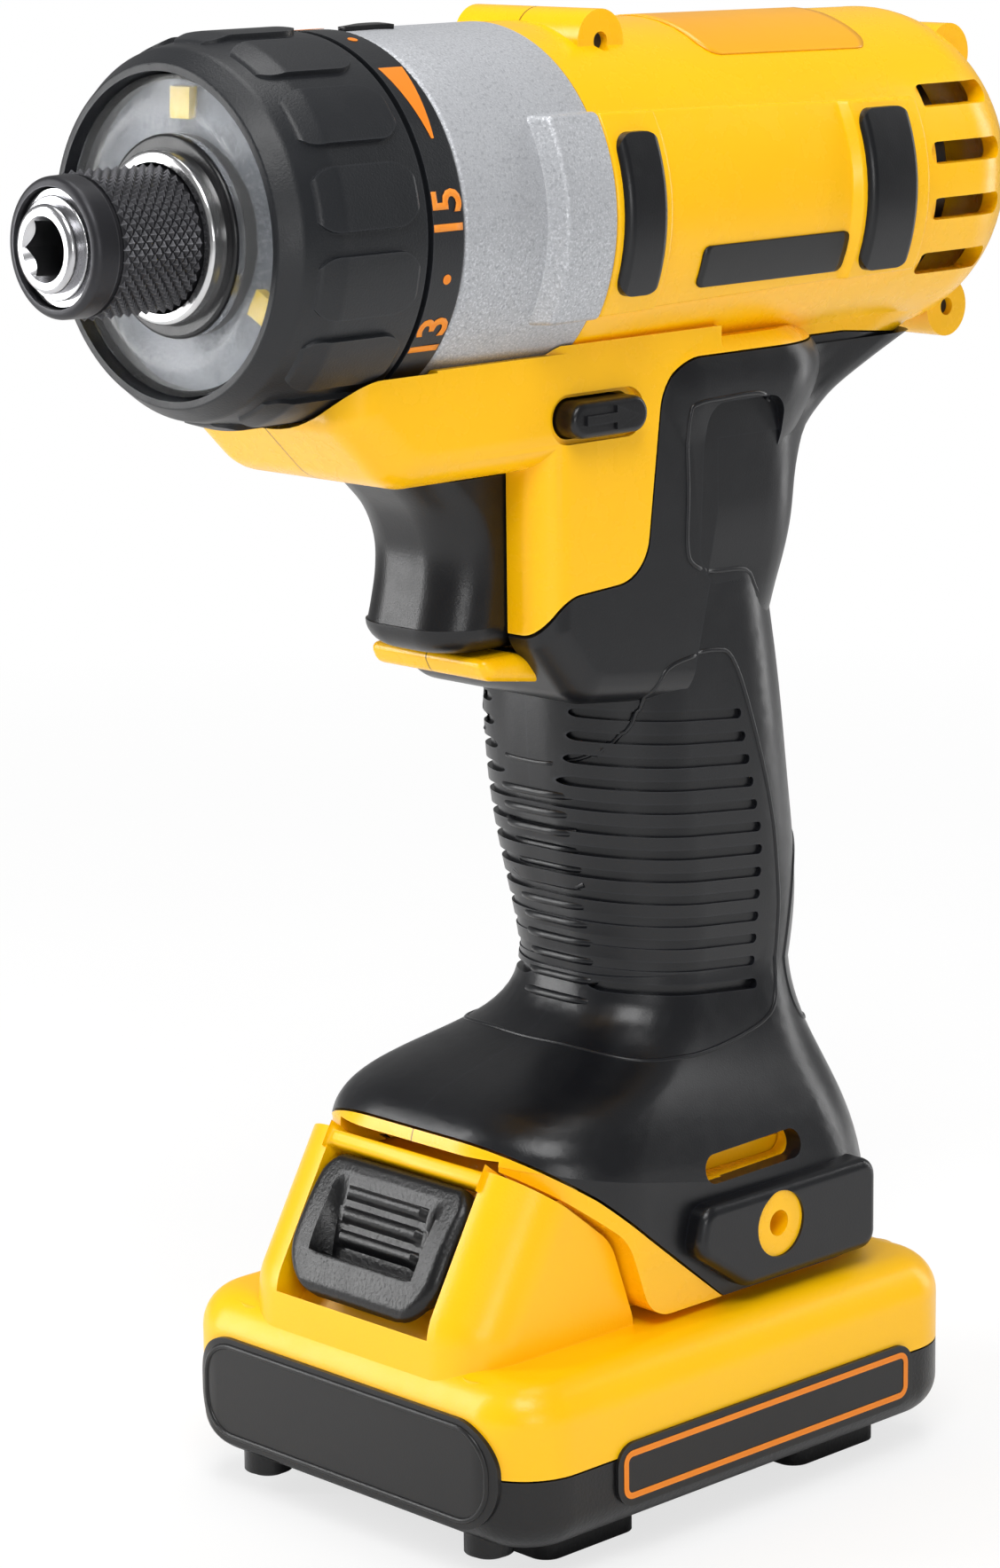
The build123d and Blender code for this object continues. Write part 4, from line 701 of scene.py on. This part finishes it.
def trigger_skin(finish):
    """The trigger with its hollowed front and soft corners, and the plunger behind it."""
    bottom, foot_front = TRIGGER_FRONT[-1]
    sections = []
    for height, front in curve_through(TRIGGER_FRONT, False, TRIGGER_ROW_STEP):
        if height > bottom + TRIGGER_ROUNDING:
            sections.append(trigger_section(height, front, 0))
    for step in range(TRIGGER_FOOT_STEPS + 1):
        turn = math.radians(90 * step / TRIGGER_FOOT_STEPS)
        height = bottom + TRIGGER_ROUNDING * (1 - math.sin(turn))
        sections.append(trigger_section(height, foot_front, TRIGGER_ROUNDING * (1 - math.cos(turn))))
    width = len(sections[0])
    points = [point for section in sections for point in section]
    faces = [tuple(range(width))]
    faces.append(tuple(range(len(points) - 1, len(points) - width - 1, -1)))
    for row in range(len(sections) - 1):
        faces += ring_faces(row * width, (row + 1) * width, width)
    for x in (PLUNGER_BACK, TRIGGER_BACK):
        for step in range(PLUNGER_SIDES):
            turn = 2 * math.pi * step / PLUNGER_SIDES
            height = PLUNGER_HEIGHT + PLUNGER_RADIUS * math.cos(turn)
            points.append((x, PLUNGER_RADIUS * math.sin(turn), height))
    tip = len(points) - 2 * PLUNGER_SIDES
    faces.append(tuple(range(tip, tip + PLUNGER_SIDES)))
    faces += ring_faces(tip + PLUNGER_SIDES, tip, PLUNGER_SIDES)
    mesh = mesh_from("trigger_skin", points, faces)
    piece = new_piece("trigger_skin", mesh, "trigger", finish)
    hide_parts("trigger")
    smooth_shading(piece)


# Latch of the pack

LATCH_TOP_PLACE = Vector((18.6, 0, 48.9))
LATCH_DOWN = Vector((14.8, 0, -19.0)).normalized()
LATCH_OUT = Vector((19.0, 0, 14.8)).normalized()
LATCH_START = 4.8
LATCH_END = 23.4
LATCH_HALF_WIDTH = 13.8
LATCH_EDGE = 1.5
LATCH_TOP_CORNER = 4.0
LATCH_BOTTOM_CORNER = 6.5
LATCH_RISE = 3.6
LATCH_FALL = 0.14
LATCH_DOME = 1.5
LATCH_DOME_START = 0.05
LATCH_DOME_SPAN = 0.8
LATCH_ROWS = 72
LATCH_COLUMNS = 44
SCOOP_START = 7.4
SCOOP_END = 18.6
SCOOP_HALF_WIDTH = 9.6
SCOOP_DEPTH = 3.4
SCOOP_SIDE_SLOPE = 1.0
SCOOP_END_SLOPE = 0.9
LATCH_RIBS = (9.8, 12.6, 15.4)
LATCH_RIB_HEIGHT = 0.9
LATCH_RIB_HALF_WIDTH = 0.85
LATCH_RIB_HALF_LENGTH = 7.4
LATCH_RIB_END_SLOPE = 0.7

# How deep the latch's sides go, and the shares of its length over which they draw in towards its foot
LATCH_SKIRT = 2.4
LATCH_FOOT_SKIRT = 0.1
SKIRT_FADE_START = 0.7
SKIRT_FADE_SPAN = 0.15

# The bar above the latch in section: distance down the latch's slope, and out of it
BROW_SECTION = [(2.4, -0.5), (2.4, 3.6), (4.5, 3.3), (4.5, -0.5)]
BROW_OVERHANG = 0.6
BROW_ROUNDING = 0.7


def latch_face(down, across, rim):
    """How far the latch's face stands out; rim is the distance to its edge."""
    share = (down - LATCH_START) / (LATCH_END - LATCH_START)
    arch = math.sin(math.pi * (LATCH_DOME_START + LATCH_DOME_SPAN * share))
    dome = LATCH_RISE - LATCH_FALL * down + LATCH_DOME * arch
    depth = SCOOP_DEPTH * (down - SCOOP_START) / (SCOOP_END - SCOOP_START)
    inside = eased((SCOOP_HALF_WIDTH - abs(across)) / SCOOP_SIDE_SLOPE)
    scoop = max(depth, 0) * inside * eased((SCOOP_END - down) / SCOOP_END_SLOPE)
    rib = 0.0
    for middle in LATCH_RIBS:
        offset = min(abs(down - middle) / LATCH_RIB_HALF_WIDTH, 1)
        reach = eased((LATCH_RIB_HALF_LENGTH - abs(across)) / LATCH_RIB_END_SLOPE)
        rib += LATCH_RIB_HEIGHT * math.sqrt(1 - offset ** 2) * reach
    return dome - scoop + rib - quarter_drop(rim, LATCH_EDGE)


def on_latch(down, across, out):
    """A point from its distance down the latch, across it and out of it."""
    return LATCH_TOP_PLACE + LATCH_DOWN * down + LATCH_OUT * out + Vector((0, across, 0))


def pack_brow(finish):
    """The bar of the cover above the latch, between the two flanks."""
    half = LATCH_HALF_WIDTH + BROW_OVERHANG
    points = [on_latch(down, across, out) for across in (-half, half) for down, out in BROW_SECTION]
    faces = [(0, 1, 2, 3), (7, 6, 5, 4)] + ring_faces(4, 0, 4)
    mesh = mesh_from("pack_brow", points, faces)
    piece = new_piece("pack_brow", mesh, "pack", finish)
    rounding = piece.modifiers.new("soft_edges", "BEVEL")
    rounding.width = BROW_ROUNDING * MM
    rounding.segments = 4
    piece.data.shade_smooth()


def latch_skin(finish):
    """The thumb latch: a domed face with round corners, a scoop and three ribs."""
    rows, columns = LATCH_ROWS, LATCH_COLUMNS
    points = []
    for row in range(rows + 1):
        down = LATCH_START + (LATCH_END - LATCH_START) * (row / rows)
        from_top = down - LATCH_START
        from_bottom = LATCH_END - down
        narrowing = quarter_drop(from_bottom, LATCH_BOTTOM_CORNER)
        side = LATCH_HALF_WIDTH - quarter_drop(from_top, LATCH_TOP_CORNER) - narrowing
        for column in range(columns + 1):
            across = side * math.sin(math.pi * (column / columns - 0.5))
            rim = min(side - abs(across), from_top, from_bottom)
            points.append(on_latch(down, across, latch_face(down, across, rim)))
    width = columns + 1
    faces = [(a, d, c, b) for a, b, c, d in sheet_faces(rows + 1, width)]
    edge = list(range(columns))
    edge += [row * width + columns for row in range(rows)]
    edge += [rows * width + columns - n for n in range(columns)]
    edge += [(rows - row) * width for row in range(rows)]
    first = len(points)
    count = len(edge)
    for n, corner in enumerate(edge):
        near_foot = eased((corner // width / rows - SKIRT_FADE_START) / SKIRT_FADE_SPAN)
        skirt = LATCH_SKIRT - (LATCH_SKIRT - LATCH_FOOT_SKIRT) * near_foot
        points.append(points[corner] - LATCH_OUT * skirt)
        ahead = (n + 1) % count
        faces.append((corner, edge[ahead], first + ahead, first + n))
    faces.append(tuple(range(first, first + count)))
    mesh = mesh_from("latch_skin", points, faces)
    piece = new_piece("latch_skin", mesh, "latch", finish)
    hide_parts("pack_latch")
    smooth_shading(piece)


# Marks of the torque collar

MARK_RING_MIDDLE = 35.0
NUMBER_SIZE = 6.4
NUMBER_BOLDNESS = 0.13
NUMBER_STEP = 39.0
NUMBER_ANGLE = 84.2
HIGHEST_NUMBER = 15
NUMBERS = 8
DOT_RADIUS = 0.62
WEDGE_ANGLE = 48.0
WEDGE_LENGTH = 10.8
WEDGE_TIP = 0.4
WEDGE_END = 3.8
PRINT_LIFT = 0.07
INK_THICKNESS = 0.06
LONGEST_FLAT_EDGE = 0.7


def ring_radius():
    """The radius of the collar's number ring."""
    spot, _ = landing(probe("torque_collar"), (MARK_RING_MIDDLE, 0, ABOVE), (0, 0, -1))
    return spot.z - axis_height


def collar_spot(along, across, angle, ring):
    """A place on the number ring; along runs upwards on the left side and across towards the nose."""
    turn = math.radians(angle) - along / ring
    radius = ring + PRINT_LIFT
    return MARK_RING_MIDDLE + across, radius * math.sin(turn), axis_height + radius * math.cos(turn)


def printed(name, flat, angle, ring, finish):
    """Wraps a flat shape round the collar's number ring."""
    for _ in range(2):
        long_edges = [edge for edge in flat.edges if edge.calc_length() > LONGEST_FLAT_EDGE]
        bmesh.ops.subdivide_edges(flat, edges=long_edges, cuts=1)
    bmesh.ops.triangulate(flat, faces=flat.faces)
    for vertex in flat.verts:
        vertex.co = Vector(collar_spot(vertex.co.x, vertex.co.y, angle, ring)) * MM
    mesh = bpy.data.meshes.new(name)
    flat.to_mesh(mesh)
    flat.free()
    piece = new_piece(name, mesh, "collar", finish)
    skin = piece.modifiers.new("ink", "SOLIDIFY")
    skin.thickness = INK_THICKNESS * MM
    skin.offset = -1


def collar_number(value, angle, ring, finish):
    """A printed number that reads upwards on the left side."""
    font = bpy.data.curves.new("number", "FONT")
    font.body = str(value)
    font.size = NUMBER_SIZE
    font.offset = NUMBER_BOLDNESS
    font.align_x = "CENTER"
    font.align_y = "CENTER"
    font.resolution_u = 3
    holder = bpy.data.objects.new("number", font)
    bpy.context.scene.collection.objects.link(holder)
    graph = bpy.context.evaluated_depsgraph_get()
    mesh = bpy.data.meshes.new_from_object(holder.evaluated_get(graph))
    flat = bmesh.new()
    flat.from_mesh(mesh)
    bpy.data.objects.remove(holder)
    bpy.data.meshes.remove(mesh)
    printed(f"collar_number_{value}", flat, angle, ring, finish)


def collar_dot(name, angle, ring, finish):
    """A printed dot."""
    flat = bmesh.new()
    bmesh.ops.create_circle(flat, cap_ends=True, segments=16, radius=DOT_RADIUS)
    printed(name, flat, angle, ring, finish)


def collar_wedge(angle, ring, finish):
    """The mark of the strongest setting: a wedge that widens upwards."""
    flat = bmesh.new()
    end = WEDGE_LENGTH / 2
    corners = [(-end, -WEDGE_TIP / 2), (end, -WEDGE_END / 2), (end, WEDGE_END / 2), (-end, WEDGE_TIP / 2)]
    flat.faces.new([flat.verts.new((along, across, 0)) for along, across in corners])
    bmesh.ops.subdivide_edges(flat, edges=flat.edges, cuts=7, use_grid_fill=True)
    printed("collar_wedge", flat, angle, ring, finish)


def collar_marks(finish):
    """The numbers, each with a dot after it, and the wedge."""
    ring = ring_radius()
    for step in range(NUMBERS):
        angle = NUMBER_ANGLE + NUMBER_STEP * step
        collar_number(HIGHEST_NUMBER - 2 * step, angle, ring, finish)
        collar_dot(f"collar_dot_{step}", angle + NUMBER_STEP / 2, ring, finish)
    collar_wedge(WEDGE_ANGLE, ring, finish)


# Lines and ribs laid on the grip

LINE_RADIUS = 0.34
LINE_SINK = 0.12
LINE_STEP = 0.8
RIB_RADIUS = 0.6
RIB_SINK = 0.15
RIB_END_SINK = 0.7
RIB_POINTS = 13
FINGER_RIBS = 12
FINGER_RIB_BOTTOM = 64.5
FINGER_RIB_PITCH = 2.55
FINGER_RIB_HALF_WIDTH = 6.4

# The palm panel's outline on the left, from the middle of the handle's front and back to it
PALM_LINE = [
    (1.0, 0.0, 96.6), (-1.2, 7.7, 97.7), (-4.0, 13.0, 101.5), (-6.4, 16.0, 107.6),
    (-9.0, 16.6, 110.0), (-17.6, 16.0, 110.6), (-21.5, 15.9, 108.2), (-26.0, 16.1, 96.0),
    (-28.6, 16.0, 87.0), (-29.8, 15.9, 80.0), (-30.6, 15.0, 73.0), (-30.4, 15.2, 64.5),
    (-26.4, 17.0, 60.0), (-11.0, 18.0, 58.2), (-1.4, 14.5, 59.1), (2.0, 0.0, 60.2),
]
# The rear strap's outline on the left, from the middle of the handle's back and back to it
STRAP_LINE = [
    (-41.0, 0.0, 84.4), (-38.6, 8.0, 83.6), (-35.6, 12.6, 80.4), (-34.0, 13.6, 74.9),
    (-33.4, 14.0, 64.3), (-34.6, 14.6, 58.6), (-38.0, 12.0, 57.0), (-42.5, 0.0, 56.6),
]
# The thumb inset's outline on the left, from its upper back corner to its lower one
THUMB_LINE = [
    (-27.6, 16.3, 142.0), (-24.0, 17.8, 143.4), (-17.5, 17.8, 143.4), (-12.8, 17.7, 143.1),
    (-11.6, 17.3, 141.4), (-11.8, 16.8, 132.2), (-11.6, 16.8, 125.1), (-12.8, 16.8, 122.4),
    (-17.3, 15.4, 120.9), (-24.2, 15.3, 120.2), (-26.4, 15.0, 117.5), (-28.6, 14.5, 115.1),
]


def both_halves(half):
    """A loop from its left half and that half's mirror image."""
    return half + [(x, -y, z) for x, y, z in reversed(half[1:-1])]


def laid_line(name, tree, points, closed, finish):
    """A thin line along a smooth curve, laid on the grip and sunk into it a little."""
    laid = []
    for point in curve_through(points, closed, LINE_STEP):
        place, normal, _, _ = tree.find_nearest(point)
        laid.append(place - normal * LINE_SINK)
    bead(name, laid, LINE_RADIUS, closed, "housing", finish)


def finger_rib(number, tree, finish):
    """A short rib across the front of the handle that sinks in at both ends."""
    height = FINGER_RIB_BOTTOM + FINGER_RIB_PITCH * number
    points = []
    for n in range(RIB_POINTS):
        across = FINGER_RIB_HALF_WIDTH * (2 * n / (RIB_POINTS - 1) - 1)
        place, normal = landing(tree, (AHEAD, across, height), (-1, 0, 0))
        taper = RIB_END_SINK * (across / FINGER_RIB_HALF_WIDTH) ** 6
        points.append(place - normal * (RIB_SINK + taper))
    bead(f"finger_rib_{number}", points, RIB_RADIUS, False, "housing", finish)


def grip_lines(finish):
    """The outlines of the palm panel, the rear strap and the thumb insets, and the finger ribs."""
    grip = probe("left_grip", "right_grip")
    laid_line("palm_line", grip, both_halves(PALM_LINE), True, finish)
    laid_line("strap_line", grip, both_halves(STRAP_LINE), True, finish)
    laid_line("left_thumb_line", grip, THUMB_LINE, False, finish)
    laid_line("right_thumb_line", grip, [(x, -y, z) for x, y, z in THUMB_LINE], False, finish)
    for number in range(FINGER_RIBS):
        finger_rib(number, grip, finish)


# Saddle between the handle and the barrel

SADDLE_FRONT = -16.0
SADDLE_FOOT = 104.0
SADDLE_WAIST = 116.0
SADDLE_HALF_WIDTH = 12.8
SADDLE_ROW_STEP = 1.2
SADDLE_STEPS = 14

# The rounding at the back shrinks, and the foot rises out of the handle, over these heights above the foot
SADDLE_FOOT_ROUNDING = 14
SADDLE_TOP_ROUNDING = 6
SADDLE_ROUNDING_SPAN = 24
SADDLE_SINK = 0.8
SADDLE_SINK_SPAN = 14

# The sides swell towards the front, and more so above the waist
SADDLE_SWELL = 2.2
SADDLE_SWELL_GAIN = 1.15
SADDLE_SWELL_SPAN = 14
SADDLE_SWELL_BACK = -40
SADDLE_SWELL_LENGTH = 11

# The back of the saddle from bottom to top: height, and how far forward
SADDLE_BACK = [
    (104.0, -37.5), (110.0, -36.7), (116.0, -36.4), (120.0, -36.9), (124.0, -37.5), (129.6, -38.5),
    (133.5, -39.9), (137.1, -42.0), (140.0, -45.3), (142.1, -48.8), (145.0, -55.4), (147.8, -62.4),
]


def saddle_outline(height, back):
    """A level outline of the saddle, round at the back and sunk into the handle at its foot."""
    above_foot = height - SADDLE_FOOT
    shrink = (SADDLE_FOOT_ROUNDING - SADDLE_TOP_ROUNDING) * eased(above_foot / SADDLE_ROUNDING_SPAN)
    radius = SADDLE_FOOT_ROUNDING - shrink
    sunk = SADDLE_SINK * (1 - eased(above_foot / SADDLE_SINK_SPAN))
    swell = SADDLE_SWELL + SADDLE_SWELL_GAIN * eased((height - SADDLE_WAIST) / SADDLE_SWELL_SPAN)
    half = []
    for step in range(SADDLE_STEPS + 1):
        x = back + (SADDLE_FRONT - back) * (1 - step / SADDLE_STEPS) ** 2
        side = SADDLE_HALF_WIDTH + swell * eased((x - SADDLE_SWELL_BACK) / SADDLE_SWELL_LENGTH)
        half.append((x + sunk, side - sunk - quarter_drop(x - back, radius), height))
    return half + [(x, -y, z) for x, y, z in reversed(half)]


def saddle_skin(finish):
    """The smooth back of the grip where it runs up to the barrel."""
    profile = curve_through(SADDLE_BACK, False, SADDLE_ROW_STEP)
    outlines = [saddle_outline(height, back) for height, back in profile]
    points = [point for outline in outlines for point in outline]
    mesh = mesh_from("saddle_skin", points, sheet_faces(len(outlines), len(outlines[0])))
    piece = new_piece("saddle_skin", mesh, "housing", finish)
    piece.data.shade_smooth()


# Springs


def pressed_springs(finish):
    """A copy of each spring that a joint lists, moving with the spring's body in place of the spring."""
    for joint in frame["record"]["behaviour"]["joints"]:
        for spring in joint.get("deforming_nodes", []):
            node = nodes[spring["node"]]
            mesh = node.data.copy()
            mesh.materials.clear()
            piece = new_piece(f"pressed_{node.name}", mesh, body_of(node)[0], finish)
            smooth_shading(piece)
            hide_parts(spring["node"])
            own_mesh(piece)


# Thin plates and printed frames

# The blank band on each cheek: back, front, bottom, top
CHEEK_BAND = (-35.6, -8.6, 158.4, 163.6)
BAND_CORNER = 1.0
BAND_LIFT = 0.14

# The blank film on the barrel: back, front, right, left
TOP_FILM = (-50.0, -19.0, -13.5, 13.5)
FILM_CORNER = 2.5
FILM_LIFT = 0.1

# The printed frame on each side plate
FRAME_INSET = 1.0
FRAME_WIDTH = 0.8
FRAME_CORNER = 2.6
FRAME_LIFT = 0.05
FRAME_INK = 0.08

# The rim round the front plate
RIM_SIDE_INSET = 1.5
RIM_TOP_INSET = 1.1
RIM_CORNER = 5.2
RIM_RADIUS = 0.42
RIM_SINK = 0.1

# The arrow on top of the casing
INDEX_BACK = 24.6
INDEX_LENGTH = 6.6
INDEX_HALF_WIDTH = 2.5
INDEX_TIP_HALF_WIDTH = 0.12
INDEX_LIFT = 0.3
INDEX_ROWS = 8
INDEX_COLUMNS = 6


def rounded_rows(left, right, low, high, radius, rows, columns):
    """Rows of plane points that fill a rectangle with round corners."""
    made = []
    for row in range(rows + 1):
        up = low + (high - low) * 0.5 * (1 - math.cos(math.pi * row / rows))
        inset = quarter_drop(min(up - low, high - up), radius)
        start, end = left + inset, right - inset
        made.append([(start + (end - start) * column / columns, up) for column in range(columns + 1)])
    return made


def laid_plate(name, rows, cast, lift, body, finish):
    """A thin plate whose plane points are cast on to the part and lifted off it."""
    points = []
    for row in rows:
        for spot in row:
            place, normal = cast(*spot)
            points.append(place + normal * lift)
    mesh = mesh_from(name, points, sheet_faces(len(rows), len(rows[0])))
    piece = new_piece(name, mesh, body, finish)
    piece.data.shade_smooth()
    skin = piece.modifiers.new("plate", "SOLIDIFY")
    skin.thickness = 2 * lift * MM
    skin.offset = 0


def bare_labels(band_finish, film_finish):
    """The blank band on each cheek and the blank film on top of the barrel."""
    shell = probe("left_housing", "right_housing")
    band = rounded_rows(*CHEEK_BAND, BAND_CORNER, rows=10, columns=24)
    for side, name in ((1, "left_band"), (-1, "right_band")):
        rows = band if side > 0 else [row[::-1] for row in band]
        laid_plate(name, rows, lambda x, z: landing(shell, (x, BESIDE * side, z), (0, -side, 0)),
                   BAND_LIFT, "housing", band_finish)
    film = rounded_rows(*TOP_FILM, FILM_CORNER, rows=24, columns=24)
    laid_plate("top_film", film, lambda x, y: landing(shell, (x, y, ABOVE), (0, 0, -1)),
               FILM_LIFT, "housing", film_finish)


def rounded_loop(left, right, low, high, radius, parts):
    """Plane points round a rectangle with round corners."""
    middles = [(right - radius, high - radius, 0), (left + radius, high - radius, 90),
               (left + radius, low + radius, 180), (right - radius, low + radius, 270)]
    loop = []
    for along, up, start in middles:
        for part in range(parts + 1):
            turn = math.radians(start + 90 * part / parts)
            loop.append((along + radius * math.cos(turn), up + radius * math.sin(turn)))
    return loop


def pack_frames(print_finish, rim_finish):
    """A printed frame on each side plate and a rim round the front plate."""
    for side, name in ((1, "left_frame"), (-1, "right_frame")):
        face = side * (plate_high.y + FRAME_LIFT)
        loops = []
        for edge in (FRAME_INSET, FRAME_INSET + FRAME_WIDTH):
            loops.append(rounded_loop(plate_low.x + edge, plate_high.x - edge, plate_low.z + edge,
                                      plate_high.z - edge, FRAME_CORNER - edge, parts=6))
        points = [(x, face, z) for loop in loops for x, z in loop]
        count = len(loops[0])
        mesh = mesh_from(name, points, ring_faces(count, 0, count))
        piece = new_piece(name, mesh, "pack", print_finish)
        skin = piece.modifiers.new("ink", "SOLIDIFY")
        skin.thickness = FRAME_INK * MM
        skin.offset = 0
    plate = probe("front_plate")
    loop = rounded_loop(front_low.y + RIM_SIDE_INSET, front_high.y - RIM_SIDE_INSET,
                        front_low.z + RIM_TOP_INSET, front_high.z - RIM_TOP_INSET, RIM_CORNER, parts=8)
    points = []
    for across, up in loop:
        place, normal = landing(plate, (AHEAD, across, up), (-1, 0, 0))
        points.append(place - normal * RIM_SINK)
    bead("front_rim", points, RIM_RADIUS, True, "pack", rim_finish)


def index_mark(finish):
    """A raised arrow on top of the casing that the collar's numbers are read against."""
    casing = probe("gearbox_casing")
    rows = []
    for n in range(INDEX_ROWS + 1):
        along = INDEX_BACK + INDEX_LENGTH * n / INDEX_ROWS
        half = INDEX_HALF_WIDTH * (1 - n / INDEX_ROWS) + INDEX_TIP_HALF_WIDTH
        rows.append([(along, half * (2 * k / INDEX_COLUMNS - 1)) for k in range(INDEX_COLUMNS + 1)])
    laid_plate("index_mark", rows, lambda x, y: landing(casing, (x, y, ABOVE), (0, 0, -1)),
               INDEX_LIFT, "housing", finish)


# Light, floor and camera

FLOOR_HALF_WIDTH = 3000
FLOOR_GAP = 0.05

# What the lamps face, and what their places are measured from, in metres
LAMP_AIM = Vector((0, 0, 0.1))
LAMP_ORIGIN = Vector((0, 0, 0.12))


def room_light():
    """White all round for the camera, and a soft level for lighting and reflections."""
    world = bpy.data.worlds.new("studio")
    bpy.context.scene.world = world
    room = Finish(world)
    strength = ROOM_LIGHT + room.seen() * (1 - ROOM_LIGHT)
    background = room.node("ShaderNodeBackground", {}, {"Color": (1, 1, 1, 1), "Strength": strength})
    room.node("ShaderNodeOutputWorld", {}, {"Surface": background})


def camera_axes():
    """The camera's right, up and backward directions."""
    azimuth = math.radians(CAMERA_AZIMUTH)
    elevation = math.radians(CAMERA_ELEVATION)
    roll = math.radians(CAMERA_ROLL)
    right = Vector((math.cos(azimuth), math.sin(azimuth), 0))
    back = Vector((
        math.sin(azimuth) * math.cos(elevation),
        -math.cos(azimuth) * math.cos(elevation),
        math.sin(elevation),
    ))
    up = back.cross(right)
    return (right * math.cos(roll) + up * math.sin(roll),
            up * math.cos(roll) - right * math.sin(roll),
            back)


def soft_box(name, place, width, height, power):
    """A rectangular lamp that faces the drill, with its place and sides in metres."""
    lamp = bpy.data.lights.new(name, "AREA")
    lamp.shape = "RECTANGLE"
    lamp.size = width
    lamp.size_y = height
    lamp.energy = power
    holder = bpy.data.objects.new(name, lamp)
    holder.location = place
    aim = LAMP_AIM - Vector(place)
    holder.rotation_euler = aim.to_track_quat("-Z", "Y").to_euler()
    bpy.context.scene.collection.objects.link(holder)


def studio_lamps():
    """Strips at both sides, boxes above and in front, and a weak fill from below."""
    right, _, back = camera_axes()
    above = Vector((0, 0, 1))
    soft_box("left_strip", LAMP_ORIGIN - right * 0.6 - back * 0.02 + above * 0.06,
             width=0.09, height=0.8, power=3.2)
    soft_box("right_strip", LAMP_ORIGIN + right * 0.55 - back * 0.3 + above * 0.1,
             width=0.08, height=0.7, power=1.2)
    soft_box("top_box", LAMP_ORIGIN + above * 0.75 - back * 0.1, width=0.4, height=0.4, power=2.4)
    soft_box("front_key", LAMP_ORIGIN + above * 0.62 + back * 0.6, width=0.45, height=0.45, power=5.2)
    soft_box("low_fill", LAMP_ORIGIN - above * 0.06 + back * 0.8 + right * 0.2,
             width=0.3, height=0.1, power=1.0)


def floor():
    """A wide floor a hair under the pack's pads."""
    side = FLOOR_HALF_WIDTH
    drop = tray_low.z - FLOOR_GAP
    points = [(-side, -side, drop), (side, -side, drop), (side, side, drop), (-side, side, drop)]
    sweep = bpy.data.objects.new("floor_sweep", mesh_from("floor_sweep", points, [(0, 1, 2, 3)]))
    sweep.data.materials.append(floor_finish())
    bpy.context.scene.collection.objects.link(sweep)


def camera():
    """A camera placed and turned as for the photo."""
    right, up, back = camera_axes()
    lens = bpy.data.cameras.new("photo_camera")
    lens.sensor_width = SENSOR_WIDTH
    lens.lens = CAMERA_FOCAL_PIXELS / IMAGE_LONG_SIDE * SENSOR_WIDTH
    holder = bpy.data.objects.new("photo_camera", lens)
    turn = Matrix((right, up, back)).transposed().to_4x4()
    holder.matrix_world = Matrix.Translation(CAMERA_PLACE * MM) @ turn
    bpy.context.scene.collection.objects.link(holder)
    bpy.context.scene.camera = holder


def dress_frame():
    """Gives every piece of the frame its finish and its shading; gives back the finishes by name."""
    made = {}
    for maker, names in FINISHES.items():
        finish = maker()
        made[maker.__name__] = finish
        for name in names:
            piece = nodes[name]
            piece.data.materials.clear()
            piece.data.materials.append(finish)
            smooth_shading(piece)
    return made


finishes = dress_frame()
orange_ink = orange_print()
knurled_band(finishes["black_oxide"])
trigger_skin(finishes["black_moulding"])
latch_skin(finishes["textured_black"])
pack_brow(finishes["yellow_cover"])
collar_marks(orange_ink)
grip_lines(finishes["soft_grip"])
saddle_skin(finishes["soft_grip"])
pressed_springs(finishes["turned_steel"])
bare_labels(finishes["bare_plate"], label_film())
pack_frames(orange_ink, finishes["bare_plate"])
index_mark(finishes["black_moulding"])
room_light()
studio_lamps()
floor()
camera()
bpy.context.scene.view_settings.view_transform = "Standard"
